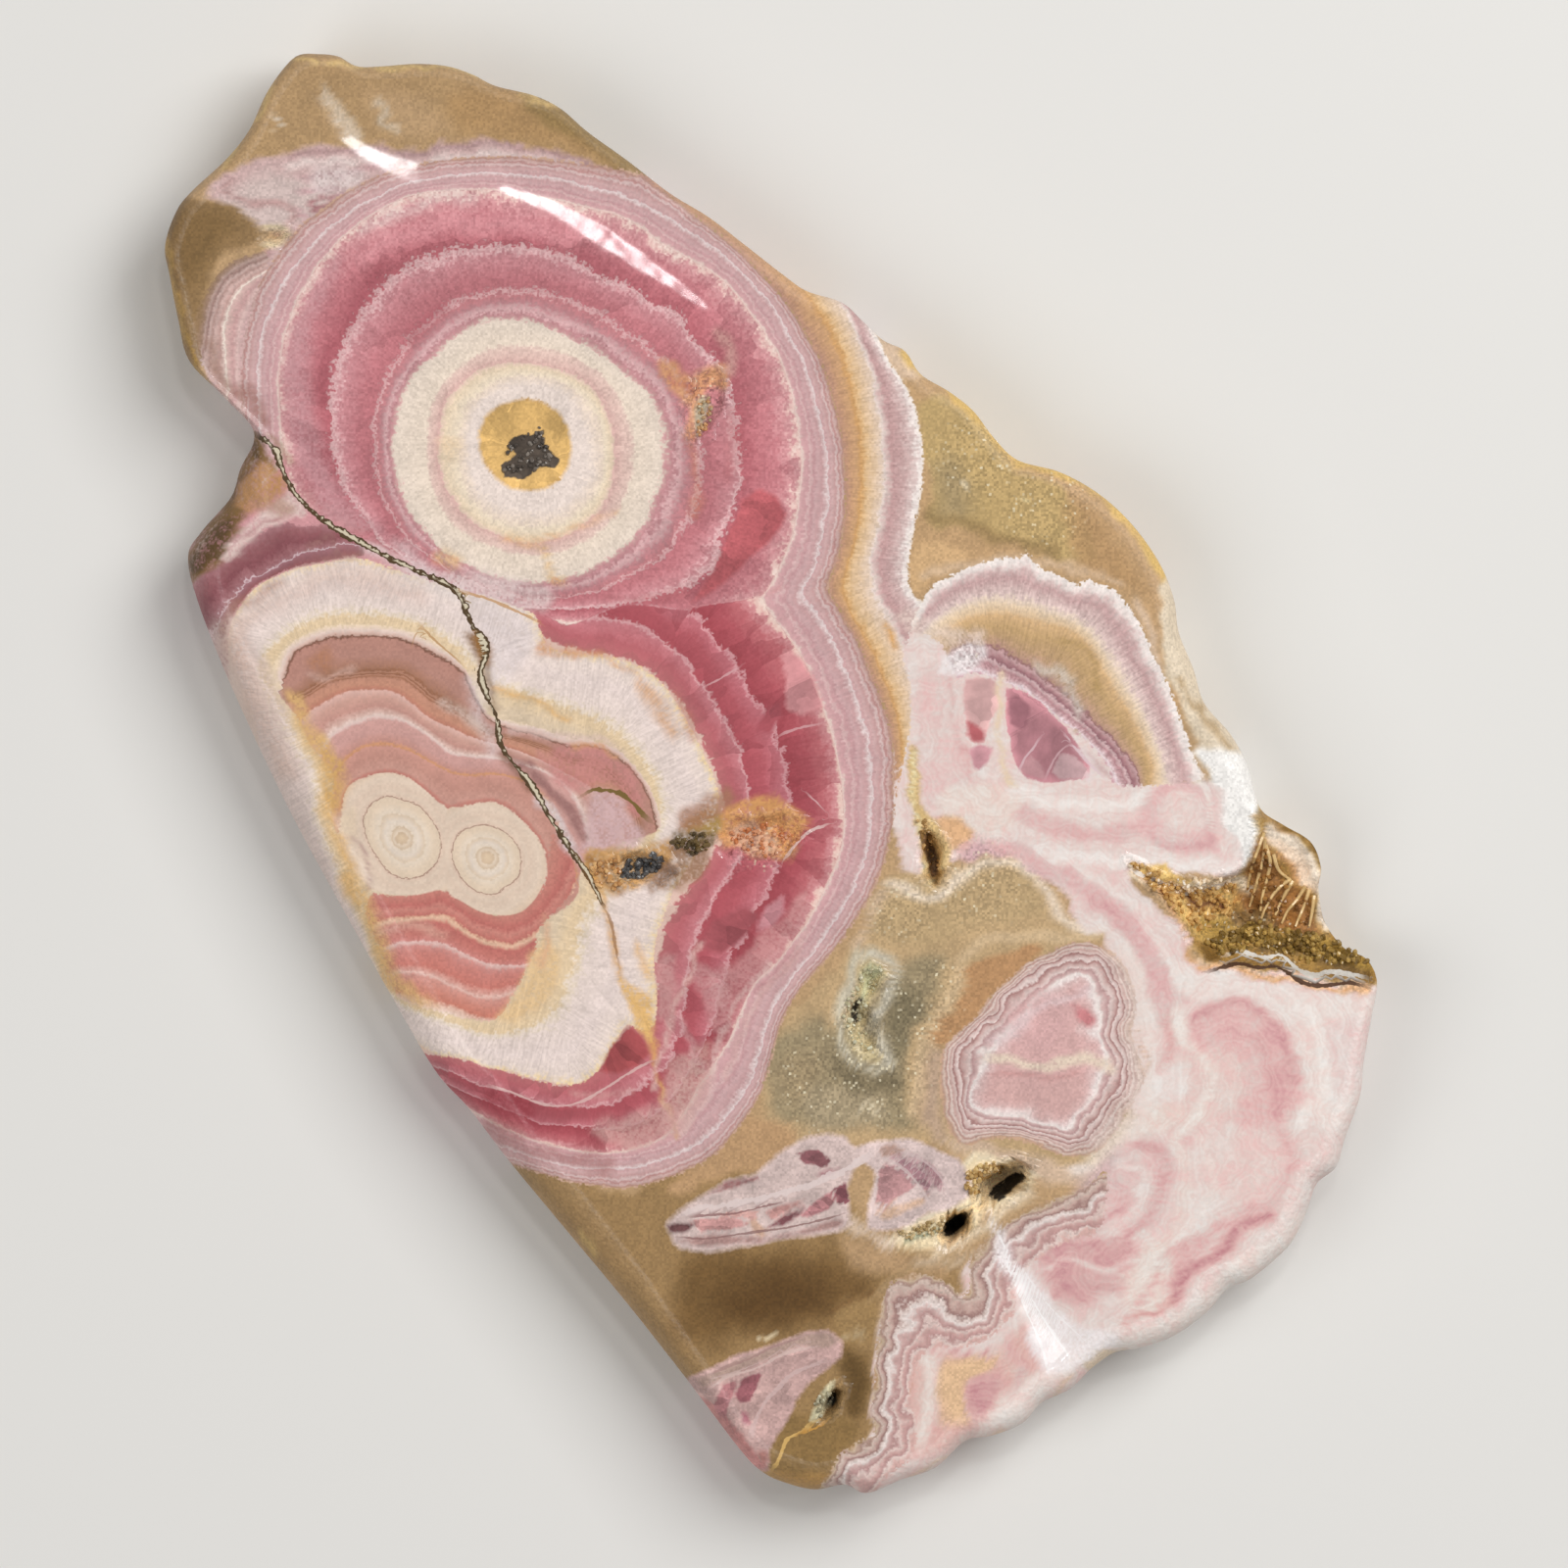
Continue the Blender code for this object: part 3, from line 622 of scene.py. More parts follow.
# %% Arched strata
ARCHES = [
    [292,690, 300,668, 310,661, 325,655, 340,651, 370,650, 400,651, 415,655, 430,662, 450,672, 465,682,
     475,692, 482,708, 497,733, 520,745, 550,752, 580,763, 600,762, 625,770, 647,790, 662,815, 669,845],
    [302,712, 318,703, 330,695, 345,690, 380,687, 410,688, 425,697, 440,710, 460,720, 478,732, 500,747,
     525,753, 555,762, 580,774, 608,778, 630,795, 646,818, 652,845],
    [306,735, 320,722, 340,711, 360,704, 385,703, 402,706, 420,717, 440,734, 460,742, 482,752, 510,760,
     540,770, 570,785, 598,800, 620,818, 635,840, 642,862],
    [324,775, 330,764, 338,751, 350,743, 365,737, 388,731, 408,734, 428,744, 446,758, 461,769, 482,772,
     506,774, 530,779, 552,786, 572,797, 587,815, 596,838, 602,870],
    [340,805, 348,785, 360,770, 380,762, 402,762, 422,769, 442,780, 462,790, 485,792, 507,791, 532,797,
     552,812, 566,835, 576,860, 586,892],
    [348,835, 350,815, 357,801, 372,794, 388,789, 402,789, 416,794, 432,805, 446,818, 457,828, 470,824,
     487,820, 502,819, 517,825, 532,837, 547,853, 556,872, 560,900],
]
ARCH_EDGE = [
    276,688, 288,664, 304,652, 326,641, 355,637, 395,639, 430,648, 456,665, 478,688, 497,728, 540,740,
    580,752, 620,760, 648,782, 668,815, 672,846, 640,858, 606,872, 592,890, 588,915, 560,935, 520,930,
    480,925, 440,905, 400,905, 375,900, 352,870, 338,832, 340,792, 320,765, 303,732, 282,705]
family("arches", ARCHES, ARCH_EDGE, spacing=30, waver=0.06, ragged=0.05, fray=1.5, fibre=0.0, grain=0.5,
    colours=[
    (-0.40, 0xECD4B6), (-0.22, 0xE6CEC2), (-0.09, 0xD4B0A2), (-0.03, 0x78503E), (0.05, 0xBA887A),
    (0.5, 0xB8887A), (0.84, 0xA87862), (0.90, 0x96664C), (0.97, 0xB88670), (1.04, 0x926248), (1.12, 0xBC8872),
    (1.20, 0xA06E54), (1.32, 0xC28C76), (1.7, 0xC89078), (1.97, 0xC0826E), (2.06, 0xDEB4A8), (2.3, 0xCEA092),
    (2.62, 0xC69488), (2.84, 0xD8B4A8), (2.95, 0xE4CAC0), (3.02, 0xE0C2BA), (3.10, 0xD0A098), (3.5, 0xCC9C94),
    (3.82, 0xC69286), (3.94, 0xD0966E), (4.02, 0xCC9688), (4.4, 0xC49082), (4.8, 0xCA988A), (4.95, 0xC07C70),
    (5.02, 0xDEC6B2)])

# %% Lower strata
SAGS = [
    [372,915, 382,912, 400,916, 425,914, 448,908, 458,910, 472,921, 490,931, 510,935, 530,932, 546,918,
     560,898, 568,870],
    [376,950, 388,944, 402,939, 420,938, 440,936, 456,938, 472,949, 490,959, 512,966, 532,964, 552,952,
     572,935, 590,905],
    [385,972, 398,967, 415,963, 440,963, 456,966, 475,976, 495,984, 515,986, 540,985, 565,965, 600,920],
    [392,1000, 405,992, 430,993, 450,1001, 475,1012, 500,1018, 530,1010, 570,990],
    [395,1025, 405,1015, 430,1021, 460,1030, 490,1040, 515,1042, 545,1030, 580,1005],
]
SAG_EDGE = [
    374,930, 380,912, 400,914, 425,912, 448,906, 457,908, 472,919, 490,929, 510,933, 530,930, 545,917,
    557,897, 560,875, 566,850, 580,868, 588,895, 580,915, 562,935, 548,952, 546,972, 536,990, 528,1008,
    512,1034, 498,1042, 470,1038, 440,1030, 412,1022, 396,1000, 388,970, 378,948]
family("sags", SAGS, SAG_EDGE, spacing=25, waver=0.12, ragged=0.08, fray=2.5, fibre=0.0, grain=0.6, colours=[
    (-0.2, 0xC48678), (0.06, 0xC68074), (0.4, 0xBE7068), (0.6, 0xCA867A), (0.82, 0xC2766C), (0.92, 0xDAAC92),
    (1.0, 0xE2BAA0), (1.12, 0xCC8A7A), (1.2, 0xBE7068), (1.6, 0xC67A70), (1.86, 0xCE867E), (1.96, 0xE2BEB6),
    (2.04, 0xD8AAA2), (2.12, 0xCE8E86), (2.3, 0xCC847A), (2.7, 0xCA7C70), (2.9, 0xD8A094), (3.0, 0xE2BAAE),
    (3.12, 0xD2968A), (3.5, 0xCE8878), (3.8, 0xCC806E), (4.0, 0xE2BAA8), (4.3, 0xE6CEBE)])

# %% Twin eyes
LEFT_EYE = [
    [403,855, 406,850, 411,849, 416,853, 416,858, 411,862, 405,860],
    [393,812, 410,815, 428,822, 442,838, 450,855, 450,870, 443,885, 430,895, 415,897, 400,893, 388,880,
     377,863, 371,845, 371,832, 378,820],
]
LEFT_EYE_EDGE = [
    350,838, 351,815, 357,801, 372,794, 388,789, 402,789, 416,794, 432,805, 446,818, 457,828, 457,870,
    457,909, 448,908, 425,913, 400,913, 382,908, 362,890, 352,868]
RIGHT_EYE = [
    [490,875, 493,869, 500,869, 505,874, 502,881, 494,882],
    [478,845, 490,841, 503,843, 517,850, 528,862, 532,875, 531,890, 525,900, 515,906, 507,913, 493,912,
     480,906, 468,893, 461,875, 463,858, 470,848],
]
RIGHT_EYE_EDGE = [
    456,828, 470,824, 487,820, 502,819, 517,825, 532,837, 546,853, 555,872, 556,895, 546,917, 530,931,
    510,934, 490,930, 472,920, 457,909, 455,870]
EYE_COLOURS = [
    (-0.4, 0xE8D0B0), (-0.05, 0xD4BA9E), (0.03, 0xE4D0BA), (0.14, 0xD4BCA2), (0.18, 0xE4D2BE),
    (0.33, 0xE6D6C6), (0.50, 0xDEC8B0), (0.56, 0xE6D4C0), (0.80, 0xE2CCB4), (0.955, 0xE0CAB2),
    (0.985, 0x9C7668), (1.02, 0xDEC4B0), (1.25, 0xE0CAB6), (1.45, 0xDEC6B2), (1.9, 0xE2CCB8), (2.6, 0xDEC2A8)]
for eye_name, rings, edge in (("left_eye", LEFT_EYE, LEFT_EYE_EDGE),
                              ("right_eye", RIGHT_EYE, RIGHT_EYE_EDGE)):
    family(eye_name, rings, edge, closed=True, spacing=20, waver=0.012, ragged=0.012, fray=0.6, fibre=0.0,
           grain=0.35, colours=EYE_COLOURS)

# %% Mauve wedge
WEDGE = [
    [195,600, 222,573, 240,561, 258,548, 275,538, 290,533, 310,537, 330,536, 350,541, 366,549, 385,558],
    [215,660, 222,640, 229,625, 240,610, 255,594, 275,583, 300,568, 320,562, 336,560, 353,556, 372,557],
    [232,690, 233,650, 240,626, 250,611, 262,598, 280,588, 300,580, 325,575, 345,571, 366,569, 385,572],
]
WEDGE_EDGE = [
    170,585, 205,585, 222,573, 240,561, 258,548, 275,538, 290,533, 310,537, 330,536, 350,541, 364,549,
    372,560, 366,569, 345,571, 325,575, 300,580, 280,588, 262,598, 250,611, 240,626, 233,645, 238,672,
    248,700, 258,728, 262,760, 220,720, 170,640]
family("wedge", WEDGE, WEDGE_EDGE, spacing=18, waver=0.10, ragged=0.16, fray=3.0, fibre=0.1, grain=0.4,
    glass=0.5, colours=[
    (-0.3, 0xC49C9E), (0.04, 0xA87478), (0.3, 0x965E62), (0.55, 0x8A5056), (0.8, 0x9E686C), (0.93, 0xA6767A),
    (0.99, 0xD6BCC0), (1.07, 0xA06E74), (1.4, 0x966266), (1.8, 0x965C5E), (1.97, 0xC49C96), (2.1, 0xE8D0BE)])

# %% [markdown]
# ## The right side
# Curtains of tan, cream and lilac calcite hang beside the lobes and swing round a second ring. The ring holds
# a cavity that filled last, and a small agate with zigzag walls lies below it.

# %% Curtains
CURTAINS = [
    joined([655,178], pairs(COAT_EDGE)[22:42], [911,830, 905,870]),
    [700,200, 740,225, 780,255, 815,288, 840,320, 856,350, 866,378, 872,405, 877,432, 880,462, 880,500,
     876,540, 868,570, 861,600, 872,630, 888,658, 900,684, 911,712, 919,745, 922,790, 920,830, 914,870],
    [790,240, 820,262, 848,292, 868,325, 878,348, 886,366, 892,386, 897,412, 901,440, 903,465, 903,495,
     900,522, 896,545, 892,565, 891,585, 895,605, 904,624, 915,642, 925,668, 934,700, 938,745, 938,790,
     936,830, 930,870],
    [850,240, 872,290, 890,335, 903,360, 917,382, 927,400, 934,415, 938,435, 941,455, 942,480, 941,500,
     937,520, 932,545, 928,565, 927,585, 929,600, 937,612, 948,635, 958,665, 966,700, 970,745, 970,790,
     968,830, 962,870],
]
CURTAIN_EDGE = joined(pairs(CURTAINS[0])[:22], [918,790, 926,760, 930,725, 928,695, 922,668, 930,645, 940,628,
    947,610], pairs(CURTAINS[3])[16:2:-1], [870,262, 790,205])
family("curtains", CURTAINS, CURTAIN_EDGE, spacing=20, waver=0.13, ragged=0.16, fray=3.0, fibre=0.45,
    grain=0.7, colours=[
    (-0.1, 0xAC847A), (0.1, 0xBE927A), (0.35, 0xC49876), (0.7, 0xCCA076), (0.92, 0xCE9E68), (1.02, 0xD8AC78),
    (1.18, 0xDEBA8E), (1.5, 0xE0C2A2), (1.82, 0xE2CAB6), (1.95, 0xE4D2C9), (2.06, 0xD8BDB7), (2.22, 0xC29A98),
    (2.45, 0xC8A5A2), (2.62, 0xD2B5B1), (2.78, 0xDCC6C1), (2.9, 0xEEE2DC), (3.02, 0xEEE2D9), (3.12, 0xD6BC9E),
    (3.3, 0xC6A274)])

# %% Second ring
RING = [
    [930,640, 945,608, 955,597, 966,590, 980,583, 995,577, 1010,572, 1027,569, 1040,570, 1048,565, 1055,573,
     1063,581, 1075,585, 1085,590, 1100,597, 1110,591, 1121,597, 1135,601, 1146,612, 1156,625, 1165,640,
     1172,655, 1176,668, 1184,681, 1191,697, 1198,715, 1205,735, 1212,755, 1219,775, 1226,795, 1232,815],
    [935,665, 945,642, 960,630, 975,622, 990,615, 1010,611, 1030,612, 1050,616, 1070,622, 1090,630, 1108,640,
     1121,655, 1132,671, 1142,688, 1152,705, 1162,722, 1172,742, 1180,762, 1187,785, 1190,815],
    [948,672, 958,652, 972,641, 988,633, 1010,628, 1035,630, 1060,636, 1082,640, 1100,649, 1114,664, 1124,682,
     1135,702, 1147,721, 1158,742, 1168,763, 1176,785, 1172,808],
    [962,678, 975,663, 988,657, 1000,660, 1015,662, 1030,671, 1045,679, 1060,689, 1075,701, 1090,714,
     1105,727, 1120,741, 1135,754, 1146,767, 1157,780, 1164,800],
    [975,690, 990,686, 1005,688, 1020,695, 1035,700, 1050,708, 1062,718, 1075,729, 1090,740, 1105,752,
     1119,766, 1130,780, 1139,800],
]
RING_EDGE = joined(pairs(RING[0])[:-1], [1176,801], pairs(RING[4])[::-1], [958,655])
family("second_ring", RING, RING_EDGE, spacing=30, waver=0.10, ragged=0.14, fray=3.0, fibre=0.6, grain=0.7,
    colours=[
    (-0.1, 0xE8D8CC), (0.0, 0xF2E8E2), (0.15, 0xECDED8), (0.3, 0xD4B8B4), (0.46, 0xC4A09E), (0.66, 0xD0B2AE),
    (0.85, 0xDEC4BE), (1.0, 0xE6D0BE), (1.3, 0xE4CBAE), (1.7, 0xDEC09C), (2.0, 0xD4AF82), (2.3, 0xC2A072),
    (2.6, 0xBE9C76), (2.88, 0xBE9882), (2.97, 0x986E6C), (3.06, 0xC6A0A0), (3.22, 0xB08486), (3.34, 0x986A70),
    (3.46, 0xD0B0B0), (3.62, 0xB4868A), (3.8, 0xCEAAAC), (3.95, 0xE8D6D8), (4.08, 0xCEA4AA), (4.3, 0xBA848A)])

# %% Small agate
AGATE = [
    [1003,1078, 1010,1068, 1024,1058, 1034,1045, 1045,1030, 1060,1018, 1080,1005, 1098,995, 1111,1000,
     1118,1012, 1126,1022, 1123,1040, 1121,1055, 1128,1075, 1133,1090, 1120,1110, 1108,1130, 1096,1145,
     1084,1152, 1060,1145, 1040,1140, 1015,1138, 998,1132, 990,1125, 995,1105, 1002,1090],
    [977,1098, 974,1080, 983,1065, 995,1050, 1010,1040, 1020,1030, 1025,1015, 1040,1005, 1055,992, 1075,982,
     1095,973, 1112,975, 1128,985, 1140,1002, 1145,1030, 1140,1058, 1148,1080, 1151,1098, 1138,1118,
     1125,1138, 1110,1160, 1090,1166, 1060,1158, 1030,1150, 1003,1150, 988,1153, 982,1138, 978,1118],
    [960,1092, 962,1072, 975,1055, 990,1043, 1003,1028, 1015,1012, 1030,999, 1045,985, 1065,974, 1085,965,
     1102,961, 1120,964, 1140,976, 1153,997, 1160,1025, 1155,1055, 1163,1080, 1168,1100, 1155,1127, 1140,1152,
     1120,1175, 1090,1180, 1060,1170, 1030,1162, 1003,1164, 982,1168, 968,1150, 960,1120],
]
family("small_agate", AGATE, AGATE[2], closed=True, spacing=40, waver=0.40, ragged=0.07, fray=2.5, fibre=0.2,
    grain=0.7, glass=0.5, speckle=0.03, colours=[
    (-1.0, 0xD4AAA6), (-0.45, 0xD6ACA8), (-0.2, 0xDCBCB8), (-0.06, 0xECDCD8), (0.04, 0xEEE2DC),
    (0.16, 0xD4B6B2), (0.32, 0xBC9694), (0.44, 0xDEC8C2), (0.62, 0xCCACA6), (0.76, 0xA87C78),
    (0.84, 0xE2CEC8), (0.98, 0xCEB0AA), (1.08, 0xA0726E), (1.16, 0xD8C0B8), (1.34, 0xC4A098),
    (1.46, 0xDECAC0), (1.60, 0xB48C82), (1.74, 0xD6BEB0), (1.88, 0xBC9886), (2.0, 0xC6A286)])

# %% Wavy border of the pale mass
BORDER = [
    [838,1525, 848,1500, 860,1482, 880,1470, 893,1462, 889,1440, 892,1410, 894,1380, 897,1350, 900,1330,
     906,1314, 920,1302, 936,1299, 955,1303, 970,1312, 981,1324, 989,1318, 991,1303, 989,1288, 997,1274,
     1010,1262, 1026,1250, 1045,1238, 1065,1228, 1086,1220, 1108,1212, 1130,1196],
    [862,1525, 868,1502, 880,1492, 900,1482, 911,1464, 908,1435, 911,1405, 913,1385, 918,1368, 929,1356,
     931,1342, 940,1334, 953,1337, 966,1345, 983,1352, 1001,1345, 1014,1330, 1012,1310, 1015,1293, 1026,1278,
     1042,1265, 1060,1253, 1080,1244, 1102,1236, 1128,1222],
    [890,1530, 898,1512, 915,1500, 932,1482, 934,1455, 929,1428, 933,1400, 940,1384, 955,1374, 977,1374,
     1001,1369, 1021,1355, 1036,1335, 1036,1311, 1046,1295, 1066,1280, 1090,1266, 1122,1254],
]
BORDER_EDGE = joined(BORDER[0], pairs(BORDER[2])[::-1])
family("border", BORDER, BORDER_EDGE, spacing=25, waver=0.55, ragged=0.12, fray=3.5, fibre=0.1, grain=0.7,
    speckle=0.06, colours=[
    (-0.1, 0xB49270), (0.05, 0xC8B098), (0.2, 0xAA8A7E), (0.34, 0xD0BAAE), (0.5, 0xC4A49A), (0.62, 0x9E7A74),
    (0.74, 0xD6C2BA), (0.9, 0xE8DAD4), (1.04, 0xCEAEA8), (1.22, 0xBA928E), (1.38, 0xDEC6BE), (1.56, 0xCCA49E),
    (1.72, 0xBE9490), (1.86, 0xE2CCC4), (2.0, 0xD6AEA6)])

# %% Arcs at the upper left
LEFT_ARCS = [
    [205,352, 208,325, 216,300, 228,280, 246,266, 270,258, 300,238, 330,214, 362,192],
    [214,368, 216,340, 222,315, 232,295, 248,280, 268,270, 290,256],
    [232,400, 230,370, 229,345, 231,320, 240,300, 254,288, 272,276, 292,262],
    [256,440, 250,410, 245,380, 248,345, 258,310, 276,282, 298,256],
]
LEFT_ARC_EDGE = [
    196,352, 202,318, 214,292, 230,272, 256,260, 276,262, 262,296, 252,335, 245,380, 248,420, 256,450,
    236,420, 215,385]
family("left_arcs", LEFT_ARCS, LEFT_ARC_EDGE, spacing=15, waver=0.2, ragged=0.14, fray=3.0, fibre=0.3,
    grain=0.7, colours=[
    (-0.4, 0x967858), (0.0, 0x9E806E), (0.25, 0xB89C92), (0.5, 0x9C7C74), (0.75, 0xC6AAA2), (1.0, 0xB4928A),
    (1.3, 0xD0B0A8), (1.7, 0xC49E96), (1.92, 0xE0C6BC), (2.0, 0xEEE0D2), (2.1, 0xD6B6AE), (2.5, 0xCAA09D),
    (2.8, 0xD8B8B2), (3.0, 0xD0ACA9)])

# %% [markdown]
# ## The underpainting
# Tan calcite holds the rosettes together, and a pale pink mass fills the lower right. They have few long
# bands, only patches of colour that grew into one another, so they are painted straight on to the points of
# the mesh: soft-edged areas and strokes, one over the other. The places are first shaken by smooth noise, so
# that every edge wanders as a growing crystal's does.

# %% Brushes
TAN = 0xBC9A72


def rgb(code):
    """A colour code, two hexadecimal digits each for red, green and blue, as three numbers from 0 to 255."""
    return np.array([code >> 16, code >> 8 & 255, code & 255], float)


ground = np.tile(rgb(TAN), (len(at), 1))
SHAKES = (6.0, 38), (3.5, 15), (2.0, 7)  # reach and size of each noise, in squares
SHAKE_SEEDS = 21, 77
shaken = at + np.stack([sum(reach * random_field(at[:, 0], at[:, 1], size, seed + size)
                            for reach, size in SHAKES) for seed in SHAKE_SEEDS], axis=1)


def area_share(points, soft):
    """Where a soft-edged area lies, and its share there: from nothing to full as its edge is crossed."""
    places = boxed(points, soft + 12)
    return places, eased(depth_in(shaken[places], points), -soft, soft)


def line_share(points, width, soft, closed=False):
    """The same for a soft-edged line of some width."""
    curve = smooth(points, closed, steps=4)
    if closed:
        curve = np.vstack([curve, curve[:1]])
    places = boxed(points, width / 2 + soft + 12)
    return places, eased(width / 2 - np.abs(offset(shaken[places], curve)), -soft, soft)


def lay(colour, area, strength=1.0):
    """Paints the ground: it moves towards the colour by the area's share."""
    places, share = area
    ground[places] += strength * share[:, None] * (rgb(colour) - ground[places])


def fill(colour, points, soft=6.0, strength=1.0):
    """Paints an area."""
    lay(colour, area_share(points, soft), strength)


def stroke(colour, points, width, soft=4.0, strength=1.0):
    """Paints a line."""
    lay(colour, line_share(points, width, soft), strength)


# %% Top cap and the pale zone under it
fill(0xB19067, [225,175, 262,115, 290,40, 400,30, 520,60, 620,110, 700,195, 600,170, 530,152, 470,150,
    400,156, 330,152, 280,165], 3)
fill(0xAE8A5E, [460,100, 520,92, 580,115, 640,165, 600,160, 540,145, 480,140], 14)
fill(0x967A4E, [530,80, 590,95, 650,140, 700,195, 650,180, 600,150, 560,128], 8)
fill(0xAA8A62, [300,75, 340,70, 360,95, 330,110, 300,105], 14, 0.7)
fill(0xBE9D78, [380,95, 420,100, 460,120, 450,140, 400,135], 16, 0.6)
stroke(0xD6C4AE, [272,118, 280,126, 276,134], 4, 2)
fill(0xDEC2A8, [872,322, 892,334, 910,346, 928,362, 946,384, 952,398, 938,402, 922,388, 906,366, 888,346], 5,
    0.8)
# A pale streak on the cap beside its polish step: a painted highlight.
fill(0xD6C6B4, [328,88, 346,108, 374,138, 360,146, 342,122], 3, 0.7)
stroke(0xCEBEAA, [388,104, 398,116, 394,128, 406,134], 6, 4, 0.8)
stroke(0xD0B076, [225,168, 262,112, 292,62, 330,68, 400,66, 470,72, 530,92, 600,112, 640,140, 700,190,
    760,240], 5, 3)
fill(0xCCACA8, [225,175, 280,163, 330,150, 400,153, 470,148, 530,150, 600,168, 680,195, 700,240, 560,190,
    450,185, 380,200, 330,240, 290,290, 262,340, 250,400, 235,420, 215,390, 205,340, 215,300, 250,265,
    285,240, 255,220, 215,200], 3)
stroke(0xB08E8C, [300,160, 350,154, 400,157, 460,153, 520,152, 580,164, 640,182], 5, 3)
stroke(0xE0CCC6, [292,170, 340,165, 400,168, 470,163, 540,165, 600,176, 650,194], 5, 3)
stroke(0xBA9092, [300,180, 350,176, 400,176, 450,172, 520,170], 5, 3)
fill(0xD1BBB5, [235,190, 280,176, 330,188, 340,208, 300,230, 260,226, 225,205], 8)
stroke(0xAA7678, [318,208, 328,198, 340,202, 336,213, 322,214], 5, 2)
stroke(0xC69EA0, [300,196, 315,190, 340,190, 352,204, 340,222, 318,226, 302,214], 5, 3)
stroke(0xB6908C, [228,180, 236,196, 262,206, 284,204, 300,218, 290,240], 6, 4)
stroke(0xB48C8A, [262,262, 285,252, 310,236, 335,214, 365,196], 5, 3)
fill(0x92744E, [150,215, 182,196, 215,205, 245,215, 262,232, 250,250, 228,268, 212,290, 203,325, 200,380,
    150,320], 4)
fill(0x7A5E38, [175,225, 215,215, 240,228, 222,258, 200,290, 182,300], 14, 0.7)
stroke(0xB08C50, [185,205, 172,232, 170,262, 178,300, 186,335, 204,385], 5, 3)
stroke(0xD8C4A0, [266,226, 280,230, 293,242, 286,251, 270,246], 6, 3)

# %% Khaki sugar at the right shoulder
fill(0xC09C72, [925,385, 985,395, 1040,470, 1110,490, 1170,560, 1205,640, 1230,720, 1200,730, 1170,660,
    1140,610, 1060,575, 980,580, 945,610, 925,590, 935,520, 940,440], 4)
fill(0xBFA26E, [936,410, 985,415, 1035,475, 1085,500, 1120,560, 1100,575, 1050,560, 1000,545, 955,530,
    944,470], 6)
fill(0x9E8A68, [950,480, 975,472, 990,500, 985,530, 962,522], 16, 0.7)
stroke(0x8A7048, [952,520, 985,538, 1030,552, 1080,566], 8, 8, 0.7)
fill(0xD2AC7E, [930,600, 934,560, 955,552, 985,566, 955,590, 942,605], 5)
fill(0xB69064, [1090,520, 1130,540, 1165,600, 1150,605, 1110,590], 10, 0.8)
stroke(0xDEB86C, [925,358, 968,397, 994,418, 1013,444, 1038,467, 1082,481, 1122,503, 1156,534, 1183,573,
    1198,611, 1206,645], 12, 5)
stroke(0xD8BEA6, [1158,622, 1174,652, 1186,692], 11, 6, 0.8)
stroke(0xD6BA9E, [945,588, 985,576, 1040,572, 1100,580, 1140,600], 8, 5, 0.7)
stroke(0xD6C6A8, [980,490, 986,495], 5, 3)
stroke(0xCEBA8C, [1045,508, 1052,513], 4, 2)
fill(0xDECCB2, [1182,600, 1215,600, 1260,690, 1310,750, 1320,830, 1290,850, 1285,880, 1255,880, 1240,800,
    1215,740, 1195,690], 4)
stroke(0xAC8E64, [1205,690, 1228,728, 1246,748, 1262,766], 6, 4, 0.8)
# Near-white by the right rim: pale stone lightened by a painted highlight where the rim rolls over.
fill(0xF0ECE7, [1215,762, 1240,764, 1280,770, 1310,815, 1290,846, 1276,878, 1262,884, 1250,860, 1245,830,
    1232,795], 5)

# %% Pale body of the second ring
PALE_BODY = [
    925,640, 985,655, 1170,790, 1235,800, 1262,870, 1255,890, 1200,890, 1150,880, 1165,920, 1215,950,
    1230,990, 1400,990, 1440,1100, 1360,1250, 1200,1400, 1000,1500, 900,1560, 900,1350, 1000,1290, 1130,1200,
    1148,1100, 1130,980, 1108,945, 1060,890, 990,860, 965,885, 920,890, 912,800]
fill(0xDEC8C3, PALE_BODY, 3)
fill(0xD8BAB8, [935,690, 980,690, 985,770, 1000,800, 960,830, 940,800], 8, 0.8)
stroke(0xC49896, [972,690, 976,730, 980,765, 990,792], 4, 3, 0.8)
fill(0xE4D0BC, [975,800, 1030,800, 1050,830, 1000,850, 960,830], 6)
fill(0xDEAA82, [960,838, 985,832, 992,848, 975,862, 960,858], 6, 0.8)
stroke(0xE8DCD6, [1035,806, 1075,818, 1130,820, 1172,810, 1182,798], 12, 4)
stroke(0xD4ACAC, [1045,828, 1075,842, 1110,848, 1150,844, 1180,840], 17, 5)
fill(0xDEBABA, [1180,800, 1225,797, 1240,830, 1240,862, 1215,872, 1185,860, 1165,840], 5)
fill(0xE8D0C8, [1192,810, 1212,806, 1226,822, 1224,846, 1206,852, 1192,838], 7)
stroke(0xBA8A92, [1178,850, 1195,862, 1215,867, 1233,858, 1240,840], 5, 4)
stroke(0xF0E2D2, [1206,760, 1218,785, 1230,812, 1238,838, 1241,862], 3, 2.5)
stroke(0xECE0DC, [1010,862, 1060,868, 1110,878, 1160,872, 1210,884, 1255,882], 13, 5)
stroke(0xCEA8AA, [985,866, 1030,868, 1070,886, 1108,906, 1140,938, 1166,968, 1186,1005, 1190,1030], 24, 6)
stroke(0xBA868C, [1118,920, 1148,955, 1165,985, 1172,1010], 6, 5, 0.7)
stroke(0xE6D6D0, [1060,868, 1100,886, 1150,925, 1180,960, 1200,1000], 6, 4)

